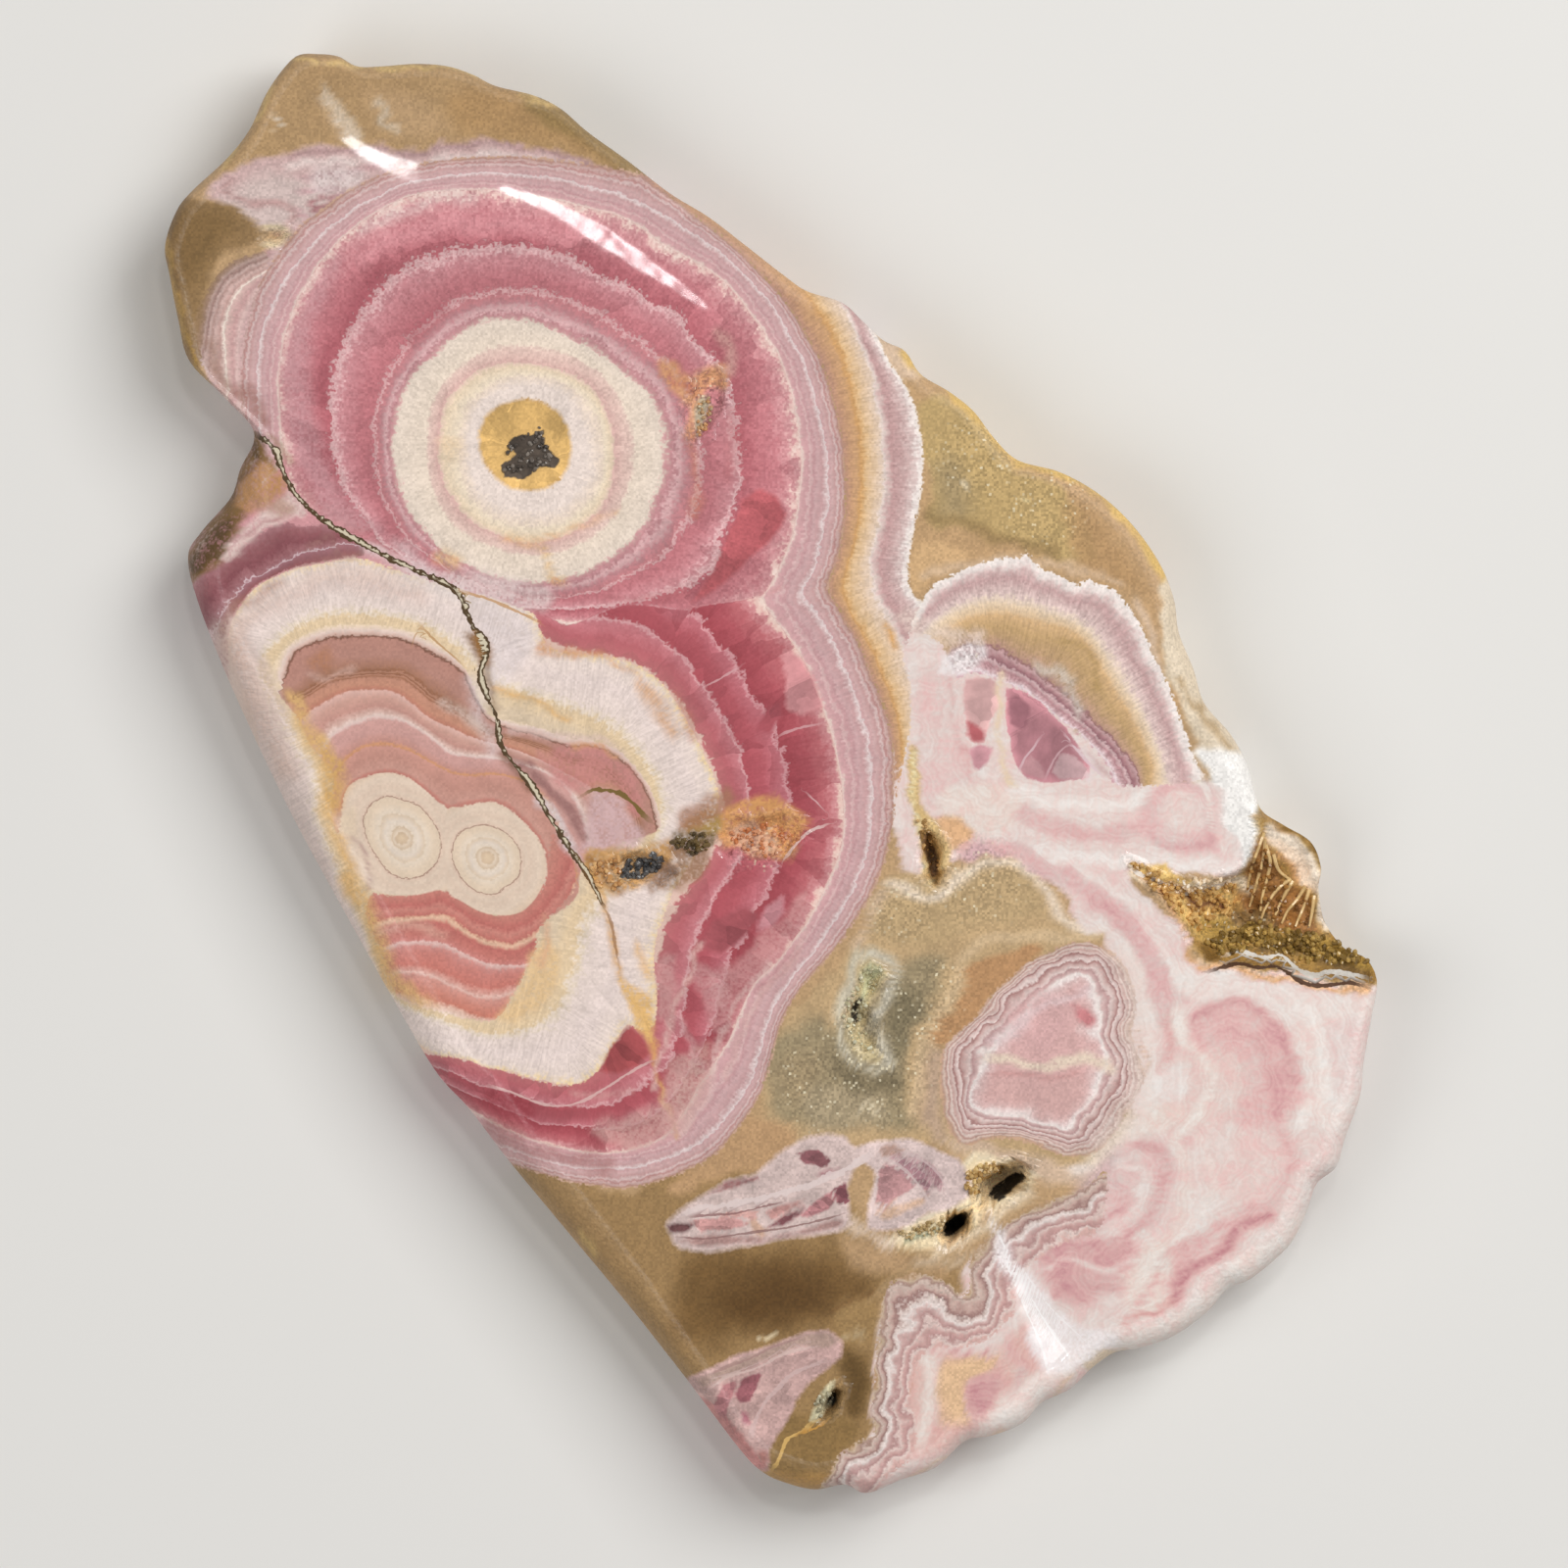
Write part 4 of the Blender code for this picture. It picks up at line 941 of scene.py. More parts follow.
# %% Central khaki, with its sparkling olive heart
fill(0xC1A37A, [890,935, 905,900, 930,893, 960,905, 975,888, 1000,871, 1030,871, 1044,886, 1052,906, 1070,927,
    1094,942, 1122,951, 1120,962, 1080,962, 1136,990, 1150,1080, 1145,1150, 1080,1200, 940,1170, 820,1170,
    786,1150, 776,1120, 790,1080, 805,1040, 830,1010, 852,985, 872,955], 4)
fill(0xBA9F76, [890,930, 930,905, 990,885, 1040,890, 1060,930, 1000,945, 960,965, 900,960], 10, 0.8)
stroke(0xEAD8C4, [905,908, 960,912, 985,886, 1025,876, 1052,896, 1078,928, 1118,950], 9, 6, 0.95)
fill(0x9B8A6B, [795,1065, 830,1040, 850,1050, 900,1000, 930,980, 965,975, 955,1010, 930,1060, 925,1110,
    940,1150, 880,1150, 830,1150, 785,1130], 9)
fill(0x7C7056, [908,1012, 930,1004, 938,1022, 924,1062, 910,1085, 904,1050], 9, 0.9)
fill(0x70644C, [850,1080, 880,1098, 912,1098, 920,1112, 870,1114], 9, 0.8)
fill(0xA48F6E, [792,1085, 820,1075, 836,1100, 815,1130, 790,1120], 12, 0.8)
fill(0xB09E80, [822,1122, 860,1108, 905,1122, 912,1142, 870,1152, 828,1152], 9, 0.7)
stroke(0xCEB49E, [868,968, 884,944, 900,920], 8, 6, 0.7)
stroke(0xCEB28C, [936,1130, 938,1080, 952,1040, 970,1005, 988,975, 1012,957, 1060,953, 1112,955], 10, 4)
fill(0xBA8E64, [1066,964, 1032,966, 1010,975, 990,990, 975,1010, 960,1035, 948,1062, 962,1066, 982,1048,
    1002,1034, 1015,1014, 1036,998, 1052,984], 2.5)
fill(0xBA9E88, [948,1072, 962,1076, 962,1120, 970,1158, 952,1162, 942,1112], 10, 0.9)
fill(0xCEB298, [955,1165, 1010,1165, 1060,1180, 1110,1185, 1160,1150, 1175,1180, 1120,1205, 1060,1205,
    1000,1185], 6)
stroke(0xE8D8CC, [1146,972, 1160,1000, 1168,1040, 1174,1090, 1168,1130, 1140,1172, 1100,1192], 14, 6)
stroke(0xCEA298, [1188,1034, 1198,1060, 1192,1092], 11, 6, 0.9)
stroke(0xCEA078, [1160,1052, 1164,1066, 1172,1078, 1168,1096], 6, 4, 0.8)

# %% Bottom tan and brown
fill(0x9E7E54, [500,1170, 620,1210, 690,1200, 760,1170, 800,1180, 900,1260, 980,1290, 980,1330, 905,1310,
    890,1480, 860,1500, 830,1540, 700,1420, 600,1280], 5)
fill(0xBC966E, [740,1160, 775,1140, 810,1160, 780,1195, 730,1205, 700,1225, 690,1215], 6)
fill(0x765832, [700,1290, 800,1275, 870,1285, 895,1308, 870,1345, 780,1350, 730,1370, 690,1350], 22)
fill(0x5E4220, [735,1325, 790,1298, 845,1308, 830,1338, 770,1352], 20, 0.9)
fill(0xB6946E, [860,1262, 940,1280, 975,1306, 930,1300, 880,1292], 8)
stroke(0xAC8E68, [880,1330, 900,1318, 925,1296, 950,1290], 6, 5)
stroke(0xAE8A5C, [500,1180, 560,1240, 620,1318, 690,1402], 12, 6, 0.6)
fill(0xA08054, [862,1325, 892,1330, 894,1365, 870,1368, 855,1350], 8)
fill(0x684E2A, [866,1372, 885,1390, 888,1432, 872,1444, 858,1412], 10)
fill(0x8E7044, [800,1450, 850,1440, 880,1460, 850,1490, 835,1515, 795,1505], 8)
fill(0xB48A50, [780,1500, 830,1506, 870,1512, 820,1540, 770,1515], 6, 0.8)
stroke(0x765430, [845,1342, 870,1328, 895,1316], 2, 1.5, 0.7)
stroke(0xCAB296, [938,1284, 970,1292, 994,1284], 9, 5, 0.8)
stroke(0xDCC8A6, [778,1362, 788,1357], 3, 2)
stroke(0xB09874, [866,1362, 878,1358, 884,1364], 5, 2)
stroke(0xC4A468, [598,1262, 604,1268, 610,1276], 8, 4, 0.8)

# %% Pale pink mass at the lower right
fill(0xEADAD2, [1205,985, 1300,990, 1420,995, 1420,1060, 1370,1150, 1330,1130, 1330,1080, 1310,1035,
    1260,1016, 1210,1024], 6)
fill(0xE8BEBB, [1212,1042, 1255,1028, 1300,1040, 1322,1085, 1322,1140, 1270,1150, 1215,1110], 6)
fill(0xE2C7BD, [1190,1090, 1240,1070, 1270,1085, 1272,1120, 1240,1150, 1200,1150], 10)
stroke(0xCEA8A4, [1186,1140, 1202,1152, 1217,1166], 9, 6, 0.7)
fill(0xD8CECE, [1182,1098, 1200,1086, 1216,1100, 1206,1122, 1188,1124], 7, 0.8)
fill(0xE4D2BC, [1110,1172, 1150,1138, 1190,1124, 1206,1140, 1170,1160, 1130,1190], 8, 0.8)
stroke(0xCE989A, [1214,1046, 1235,1033, 1262,1027, 1290,1037, 1308,1058, 1318,1095], 8, 6)
stroke(0xDCA6A6, [1286,1060, 1300,1090, 1302,1130], 14, 8, 0.7)
stroke(0xECDECE, [1196,1030, 1210,1062, 1232,1085, 1240,1110, 1222,1135, 1196,1160], 9, 5, 0.9)
fill(0xE8D0D0, [1350,1050, 1400,1040, 1400,1100, 1360,1120], 9)
stroke(0xF0E6DE, [1338,1030, 1348,1070, 1346,1110, 1330,1150], 9, 6, 0.9)
fill(0xD0B2B0, [1100,1215, 1150,1165, 1190,1160, 1205,1200, 1185,1250, 1130,1255], 9)
stroke(0xC69496, [1158,1165, 1180,1172, 1190,1188, 1184,1215, 1172,1245, 1150,1270], 7, 4)
stroke(0xE4D2CE, [1148,1188, 1166,1194, 1164,1220, 1154,1245, 1130,1262], 6, 4)
stroke(0xBC9498, [1120,1205, 1140,1208, 1142,1228, 1128,1250, 1100,1262], 6, 4)
stroke(0xE8D4C4, [1198,1165, 1212,1190, 1212,1225, 1195,1262, 1165,1285], 10, 6)
fill(0xECD0C9, [1235,1150, 1310,1155, 1325,1215, 1280,1235, 1232,1205], 12)
stroke(0xECDED2, [1225,1160, 1240,1195, 1232,1230, 1210,1262], 8, 5, 0.8)
stroke(0xDCAEAC, [1300,1150, 1316,1180, 1308,1212, 1285,1236], 12, 8, 0.8)
fill(0xCE9E9E, [1060,1275, 1110,1262, 1160,1275, 1150,1310, 1100,1335, 1065,1315], 10)
stroke(0xE2CAC6, [1062,1300, 1090,1290, 1120,1296, 1150,1282], 5, 3)
stroke(0xC0888C, [1070,1322, 1100,1312, 1130,1318, 1160,1302], 5, 3, 0.8)
stroke(0xBA868A, [1085,1268, 1110,1276, 1138,1266], 5, 3, 0.8)
fill(0xE6D4C2, [1150,1290, 1180,1270, 1205,1285, 1200,1325, 1165,1345, 1145,1320], 8)
stroke(0xD6AAA6, [1160,1335, 1178,1310, 1190,1285, 1212,1268], 5, 3, 0.8)
stroke(0xCE8C8C, [1203,1325, 1206,1303, 1220,1288, 1242,1278, 1262,1262, 1276,1246, 1300,1238], 9, 6)
stroke(0xD8A4A4, [1196,1310, 1206,1282, 1232,1264, 1252,1250, 1275,1230], 10, 6, 0.8)
stroke(0xDEA692, [1145,1356, 1165,1342, 1185,1336, 1200,1324], 7, 4)
# A pale band along the lower right rim, where the rolled edge shines: a painted highlight on the pale mass.
fill(0xE8DACE, [1215,1330, 1240,1300, 1290,1270, 1330,1240, 1340,1260, 1270,1330, 1200,1380, 1120,1400,
    1110,1375, 1170,1355], 5)
fill(0xDEC6A6, [1104,1380, 1130,1376, 1150,1384, 1120,1402], 5, 0.8)
fill(0xDAB29C, [920,1385, 960,1375, 1010,1380, 1050,1350, 1060,1400, 1020,1440, 960,1480, 925,1480], 8)
stroke(0xE6D0BE, [942,1384, 950,1405, 948,1440, 938,1468], 13, 6)
fill(0xE6C094, [960,1392, 1012,1383, 1006,1402, 986,1418, 980,1454, 962,1440], 9, 0.8)
stroke(0xDC9E7E, [920,1395, 924,1415, 922,1435], 7, 4)
stroke(0xC48884, [925,1376, 945,1368, 975,1374, 1010,1380], 4, 3)
fill(0xC89094, [990,1412, 1015,1405, 1020,1425, 1000,1448, 986,1438], 7, 0.9)
stroke(0xCE9C9E, [1030,1372, 1040,1395, 1032,1420], 8, 5, 0.8)
fill(0xE8D8CE, [1020,1432, 1060,1402, 1100,1385, 1090,1420, 1050,1455, 1000,1470], 8)
fill(0xC4A8A0, [855,1500, 885,1478, 915,1485, 900,1525, 860,1530], 5)
stroke(0xDECCC6, [872,1515, 878,1496, 895,1490, 908,1498], 5, 3)
stroke(0xE6C8A8, [930,1512, 985,1475, 1050,1452, 1100,1405], 9, 5, 0.8)

# %% Bay of open crystals
fill(0xA47E3E, to_sheet(*pairs(BAY_EDGE).T), 3)
fill(0xE6C076, [1150,880, 1190,884, 1210,905, 1262,898, 1275,925, 1262,950, 1225,955, 1205,930, 1180,905], 4)
fill(0x9E6C36, [1278,868, 1290,850, 1304,880, 1314,898, 1336,905, 1348,950, 1300,940, 1268,930], 4)
fill(0xF4DAC0, [1290,846, 1300,840, 1328,854, 1350,884, 1356,908, 1340,902, 1327,886, 1312,868, 1298,858], 3)
stroke(0xD69E6C, [1306,868, 1320,880, 1332,896], 7, 4, 0.8)
stroke(0xF2E2CE, [1296,845, 1326,858, 1347,885, 1353,915, 1356,945], 9, 4)
stroke(0xB8946A, [1282,832, 1300,838, 1320,848], 5, 3, 0.7)
fill(0xB28E42, [1225,942, 1262,936, 1300,948, 1360,958, 1400,980, 1395,992, 1340,980, 1290,962, 1240,962], 5)
stroke(0x70562E, [1290,962, 1330,968, 1366,990, 1392,996], 10, 6, 0.9)
fill(0x7A581A, [1226,962, 1246,964, 1250,982, 1232,984], 4)
# A dark patch under the cream ribs: painted shade.
fill(0x8C6C3E, [1262,928, 1284,932, 1300,940, 1284,946, 1264,944], 5)
# A near-white strip on the bay's crust, painted paler than the crust to offset the shade on its slope:
# painted light.
stroke(0xFAECD4, [1150,888, 1176,902, 1205,912, 1240,902, 1266,896, 1277,910], 9, 4, 0.9)
stroke(0x784A28, [1210,914, 1226,926, 1240,922, 1258,926], 8, 4)
stroke(0xE2AA76, [1226,990, 1250,990, 1290,994, 1320,1004, 1350,1010, 1395,1010], 6, 4)
stroke(0xDEA87A, [1150,884, 1172,900, 1192,920, 1206,944, 1214,968, 1224,990], 5, 4, 0.8)
# Golden crust round the vugs, the slit and the crack pocket; the first area round the vugs is painted paler
# than the crust, to offset the shade on the vugs' walls, as painted light.
fill(0xF4DEB6, [984,1192, 1004,1178, 1035,1186, 1052,1200, 1040,1226, 1006,1234, 996,1254, 966,1274, 930,1272,
    904,1266, 922,1250, 960,1240, 982,1222], 5)
stroke(0xEADABC, [982,1196, 1006,1180, 1036,1188, 1054,1200], 4, 3)
stroke(0xECDEC4, [905,1262, 930,1246, 958,1238, 980,1222, 996,1206], 5, 3)
stroke(0xE4CEB0, [960,1282, 1000,1256, 1022,1236, 1050,1216], 8, 5)
stroke(0xAAB296, [925,1260, 948,1254, 962,1252], 6, 4)
stroke(0xE0C8B4, [862,1250, 885,1258, 912,1268], 10, 5, 0.9)
fill(0xD4B47C, [928,770, 938,768, 944,820, 966,862, 960,896, 944,898, 934,850], 4)
fill(0xDEB082, [958,838, 982,834, 988,852, 968,866], 5, 0.8)
stroke(0xEADCB0, [936,770, 934,800, 938,840, 944,876, 950,900], 3, 2)
# The kidney of fine druse in the olive heart, and a small pit under it.
stroke(0xC8C0AC, [885,973, 868,980, 862,1005, 852,1030, 858,1060, 872,1080, 890,1092, 908,1086], 8, 6)
stroke(0xC6BEAC, [885,973, 908,982, 912,1002, 900,1022, 890,1040, 898,1062, 908,1086], 8, 6)
fill(0xC6B48A, [880,980, 898,984, 902,1000, 888,1018, 882,1040, 892,1066, 900,1080, 880,1076, 866,1056,
    860,1034, 868,1008, 870,990], 3)
fill(0xC6C49E, [876,990, 890,984, 898,994, 886,1006, 882,1022, 874,1018, 878,1004], 2.5)
stroke(0xD6C6A8, [876,1132, 886,1128, 896,1136], 6, 3)
print("underpainting spans", ground.min().round(), "to", ground.max().round())

# %% [markdown]
# ## Patches
# Broken shards lie in the tan calcite near the foot of the slice: splinters of an older rosette, each with
# straight edges. A patch keeps how far inside its outline each point lies, so that its edge stays sharp. One
# layer holds the large patches and a second one the small dark splinters on top of them, with the near-black
# painted shade in the mouths of the deep vugs and the crack pocket.

# %% Patches
def linear(numbers):
    """Red, green and blue from 0 to 255 as the linear values that Blender takes."""
    share = np.asarray(numbers, float) / 255
    return np.where(share <= 0.04045, share / 12.92, ((share + 0.055) / 1.055) ** 2.4)


def paint(code):
    """A colour code as the four values of a colour socket."""
    return (*linear(rgb(code)), 1)


def store_colour(name, rows, mesh=stone_mesh):
    """Keeps a colour for each point: three linear values and a share."""
    kept = mesh.attributes.new(name, "FLOAT_COLOR", "POINT")
    if rows.shape[1] == 3:
        rows = np.column_stack([linear(rows), np.ones(len(rows))])
    kept.data.foreach_set("color", np.asarray(rows, np.float32).ravel())


def sharp_depth(places, points):
    """Distance inside a straight-sided outline, negative outside it."""
    edge = pairs(points)
    away = np.abs(offset(places, np.vstack([edge, edge[:1]])))
    return np.where(inside(places, edge), away, -away)


def patch_layer(name, patches):
    """Keeps for each point (depth, glass, rim) of the patch it is deepest in, and that patch's colour."""
    depth, shown = np.full(len(at), FAR), ground.copy()
    glass, rim = np.zeros((2, len(at)))
    for colour, points, patch_glass, patch_rim in patches:
        places = boxed(points, NEAR)
        places_depth = sharp_depth(at[places], points)
        deeper = places_depth > depth[places]
        chosen = places[deeper]
        depth[chosen] = places_depth[deeper]
        shown[chosen], glass[chosen], rim[chosen] = rgb(colour), patch_glass, patch_rim
    store(name, np.column_stack([depth, glass, rim]))
    store_colour(name + "_colour", shown)


patch_layer("patches", [
    (0xE6BA74, [536,407, 556,411, 571,420, 580,436, 583,456, 581,474, 572,488, 557,498, 540,502, 522,498,
     506,489, 495,475, 489,458, 489,440, 497,423, 513,412], 0.35, -0.25),
    (0xB87F86, [1026,701, 1045,705, 1060,715, 1075,730, 1088,742, 1096,755, 1106,768, 1112,782, 1112,792,
     1098,796, 1078,799, 1060,797, 1046,793, 1038,781, 1031,765, 1028,745, 1026,720], 1.0, 1.0),
    (0xD8ACA9, [985,694, 998,690, 1012,692, 1019,700, 1019,722, 1011,737, 1006,748, 1005,757, 995,758,
     988,750, 984,730, 984,710], 0.8, 0.6),
    (0xC08C92, [988,766, 1000,760, 1013,762, 1009,775, 1001,785, 994,786], 0.6, 0.6),
    (0xD2BBB5, [688,1269, 680,1249, 694,1235, 722,1216, 745,1203, 770,1198, 784,1186, 800,1173, 824,1161,
     846,1156, 862,1160, 874,1172, 888,1178, 872,1192, 864,1212, 866,1232, 870,1250, 850,1258, 800,1264,
     760,1272, 722,1278, 696,1274], 0.2, 0.25),
    (0xD2BCB7, [884,1254, 888,1222, 894,1196, 880,1184, 868,1174, 884,1166, 928,1162, 954,1172, 978,1184,
     992,1204, 988,1222, 968,1234, 946,1238, 930,1249, 905,1256], 0.4, 0.3),
    (0xC8A49E, [700,1408, 724,1396, 756,1381, 792,1370, 822,1359, 846,1357, 860,1369, 859,1384, 842,1398,
     826,1412, 812,1430, 804,1450, 792,1466, 786,1482, 784,1502, 760,1500, 720,1450], 0.5, 0.0),
    (0xBC6166, [792,506, 803,524, 797,538, 780,556, 762,573, 745,590, 728,604, 704,617, 716,600, 728,580,
     738,558, 748,534, 758,510, 775,500], 0.3, 0.0),
    (0xCB8C8E, [800,660, 818,672, 832,695, 840,722, 818,730, 802,724, 802,700], 0.3, 0.2),
])
patch_layer("splinters_and_shade", [
    # The dark crystals' bed in the honey core.
    (0x5C5046, [519,450, 528,444, 534,442, 544,444, 553,434, 556,442, 556,455, 562,462, 571,468, 567,478,
     552,477, 545,480, 536,490, 526,486, 512,488, 511,474, 522,468, 527,462, 520,456], 1.0, -0.6),
    # The lens: dark cores, a row of splinters under its white seam, and a speckled foot.
    (0x8E5C60, [812,1178, 824,1174, 836,1173, 843,1180, 851,1187, 838,1191, 826,1188, 818,1185], 0.9, 0),
    (0xA67C7E, [832,1199, 846,1193, 862,1188, 852,1196, 840,1201], 0.6, 0),
    (0x9C6C6A, [716,1220, 736,1209, 750,1203, 774,1200, 776,1203, 758,1209, 738,1215], 0.6, 0),
    (0xC69490, [704,1245, 730,1243, 752,1243, 764,1249, 742,1256, 716,1256], 0.9, 0),
    (0xCEA098, [732,1240, 762,1235, 776,1234, 770,1246, 758,1242], 0.9, 0),
    (0x704A4A, [682,1250, 700,1248, 708,1250, 700,1257, 684,1258], 0.6, 0),
    (0x7E4E52, [782,1253, 800,1241, 824,1231, 814,1242, 798,1250], 0.6, 0),
    (0xB88082, [812,1244, 826,1231, 846,1216, 852,1226, 842,1236, 824,1243], 0.9, 0),
    (0x865258, [850,1213, 863,1206, 866,1216, 866,1229, 855,1228], 0.9, 0),
    (0xC4928C, [780,1237, 800,1229, 824,1224, 806,1234, 788,1244], 0.6, 0),
    (0xC6A28E, [764,1244, 770,1242, 776,1250, 784,1258, 776,1262, 768,1254], 0.6, 0),
    (0xAC8882, [690,1266, 730,1259, 780,1264, 820,1254, 858,1244, 862,1250, 820,1260, 770,1268, 720,1272],
     0.4, 0),
    # The fan: a pink heart inside lilac arcs, a tan bar at its foot.
    (0xBA8C8C, [897,1192, 908,1188, 922,1198, 934,1212, 918,1220, 904,1228, 894,1226], 0.9, 0),
    (0xAC8C80, [896,1172, 910,1166, 924,1174, 912,1182, 900,1180], 0.5, 0),
    (0xA47C82, [904,1180, 920,1180, 940,1194, 952,1212, 946,1218, 932,1202, 918,1190], 0.6, 0),
    (0xAC8488, [930,1178, 948,1186, 962,1202, 964,1216, 956,1212, 946,1196], 0.5, 0),
    (0xCEAC94, [892,1238, 910,1232, 938,1222, 948,1226, 926,1236, 902,1246], 0.4, 0),
    # The pocket at the rim: wine-red cores in pale rose.
    (0x965C62, [750,1424, 758,1406, 778,1400, 772,1416, 764,1430, 754,1432], 0.9, 0),
    (0xB0787A, [726,1438, 738,1412, 752,1410, 746,1428, 740,1450, 730,1450], 0.9, 0),
    (0xB09488, [712,1408, 740,1394, 780,1377, 815,1363, 846,1359, 858,1369, 846,1376, 815,1373, 780,1388,
     745,1403, 718,1417], 0.3, 0),
    (0xAA6E76, [756,1440, 764,1441, 766,1454, 758,1452], 0.6, 0),
    (0xC48682, [708,1424, 724,1430, 744,1450, 766,1476, 784,1500, 766,1500, 736,1470], 0.5, 0),
    (0xB8827A, [772,1478, 786,1480, 784,1492, 776,1498], 0.4, 0),
    # The vugs' and the small crack pocket's mouths are painted near-black, a painted shade for the depth
    # inside them; the slit's mouth is brown, and the pocket has a chalky lining.
    (0x160F08, [1009,1223, 1015,1212, 1024,1207, 1032,1199, 1046,1197, 1048,1205, 1037,1211, 1029,1220,
     1018,1227], 1, 0),
    (0x120C06, [962,1254, 966,1247, 974,1244, 982,1238, 990,1237, 988,1247, 980,1256, 974,1263, 965,1263], 1,
     0),
    (0x987654, [938,842, 946,846, 951,860, 957,878, 957,896, 950,894, 947,878, 941,862], 1, 0),
    (0xD0C6A2, [826,1451, 829,1438, 838,1431, 838,1420, 846,1411, 852,1407, 851,1416, 846,1430, 841,1440,
     834,1451], 0.6, 0),
    (0x18120C, [844,1424, 849,1419, 854,1423, 854,1431, 849,1436, 845,1433], 1, 0),
    (0x302618, [877,1016, 882,1012, 881,1020, 876,1030, 878,1042, 873,1046, 868,1034, 870,1024], 1, 0),
    (0xBC666A, [990,735, 1004,746, 1004,756, 994,757, 988,748, 986,736], 0.3, 0),
    (0xC68082, [1092,1024, 1110,1030, 1120,1041, 1112,1049, 1100,1040], 0.3, 0),
    (0xA04C4E, [612,1093, 622,1072, 640,1046, 654,1056, 664,1075, 650,1088, 630,1096], 0.5, 0),
    (0xA05258, [710,964, 730,938, 760,926, 774,934, 760,956, 736,974], 0.3, 0),
    (0xC4868C, [772,950, 782,926, 800,912, 800,930, 788,946], 0.3, 0),
    (0xE8D4BA, [744,848, 762,838, 774,846, 758,856], 0.6, 0),
    (0xE2C8B2, [776,862, 792,852, 800,862, 786,872], 0.6, 0),
    (0xAC703E, [776,836, 790,826, 804,832, 792,844], 0.6, 0),
    (0xAA545C, [770,745, 782,722, 796,716, 800,730, 786,748], 0.3, 0),
    (0xD0AAAC, [1074,788, 1082,768, 1096,770, 1108,784, 1111,793, 1084,797], 0.8, 0),
    (0xC49296, [1040,786, 1052,768, 1062,778, 1066,794, 1050,792], 0.8, 0),
    (0x9C6870, [1028,712, 1040,708, 1052,722, 1046,745, 1032,740], 0.6, 0),
])

# %% [markdown]
# ## Washes
# Some tints run across the bands: iron stains, pale cores, the milky white along the fracture, and a few
# painted highlights and painted shade. They are soft strokes like the underpainting's, laid over the bands,
# with a share for each point.

# %% Washes
wash = np.zeros((len(at), 4))


def tint(colour, area, strength=1.0):
    """Lays a colour over the wash; its share is the fourth number, and the colour is scaled by it already."""
    places, share = area
    share = strength * share[:, None]
    wash[places] = wash[places] * (1 - share) + share * paint(colour)


def wash_fill(colour, points, soft=6.0, strength=1.0):
    tint(colour, area_share(points, soft), strength)


def wash_stroke(colour, points, width, soft=4.0, strength=1.0):
    tint(colour, line_share(points, width, soft), strength)


# The notch: a rough ochre slope under the face.
wash_fill(0x7E5E34, [170,590, 198,540, 232,500, 255,440, 264,448, 276,466, 284,488, 262,510, 246,530, 232,556,
    212,580, 190,600], 3)
wash_fill(0x543C1E, [185,570, 205,545, 228,524, 236,540, 218,566, 196,584], 4, 0.9)
wash_fill(0xBA8A5C, [250,480, 268,470, 284,484, 290,504, 268,514, 250,520, 240,508], 5)
wash_stroke(0x463018, [256,452, 262,470, 252,484, 238,506], 6, 4, 0.8)
wash_fill(0xDEC6BE, [226,562, 246,536, 268,520, 296,508, 318,526, 290,530, 262,542, 238,564], 3, 0.9)
wash_stroke(0xA6686C, [244,546, 266,530, 290,524], 3, 2, 0.8)
# Milk along the fracture, ochre by it and inside the lower stalactite.
wash_stroke(0xDED2CE, [376,560, 395,570, 440,590, 468,606], 10, 7, 0.7)
wash_stroke(0x9A6A64, [312,508, 342,520, 366,540], 9, 7, 0.55)
wash_stroke(0xA27A70, [318,560, 341,548, 352,573, 372,568], 5, 4, 0.5)
wash_fill(0xDED0CE, [400,552, 440,572, 470,590, 520,612, 540,630, 545,660, 520,690, 500,720, 492,690, 490,640,
    470,605, 430,585], 9, 0.7)
wash_fill(0xDCCAC6, [455,578, 490,584, 530,594, 562,610, 545,624, 500,608, 465,598], 7, 0.7)
wash_stroke(0xE4D0C4, [925,634, 945,646, 968,652, 992,648], 13, 8, 0.7)
wash_stroke(0xD8CCCC, [478,690, 486,712, 494,740, 500,765], 12, 10, 0.6)
wash_fill(0x7C5630, [480,641, 490,648, 497,660, 496,676, 487,669, 481,655], 3, 0.9)
wash_stroke(0x866A52, [494,674, 495,686, 501,706, 508,728], 7, 5, 0.9)
wash_stroke(0x7E5844, [514,770, 526,787, 540,806], 8, 5, 0.9)
wash_stroke(0xD6BEB2, [456,722, 474,730, 490,740], 12, 6, 0.7)
# Painted shade: the white coat is darkened towards the left rim, where the face rolls away from the light.
wash_fill(0xCEBAB2, [215,640, 252,630, 276,690, 302,750, 318,800, 326,850, 346,905, 366,950, 380,1000,
    400,1040, 340,1010, 220,740], 9, 0.75)
wash_stroke(0xCEAC9C, [238,668, 246,640, 262,620, 290,602, 330,592, 380,592, 430,604], 20, 14, 0.45)
wash_stroke(0xCAA896, [240,650, 252,690, 270,730, 292,780], 22, 12, 0.45)
wash_stroke(0xDAB076, [298,706, 312,742, 328,768, 338,792, 335,822, 342,848, 352,880, 364,908, 376,940,
    388,972, 404,1008, 424,1024], 13, 6, 0.95)
wash_fill(0xD2A668, [318,762, 342,774, 352,796, 346,822, 330,820, 326,796], 7, 0.85)
wash_stroke(0xB08E86, [350,850, 364,862, 373,878, 376,894, 373,908], 2.6, 1.5, 0.8)
wash_fill(0xDEC8AC, [346,826, 362,822, 366,848, 352,850], 5, 0.7)
wash_stroke(0xDEB27C, [395,990, 405,1012, 425,1022, 445,1022], 10, 7, 0.7)
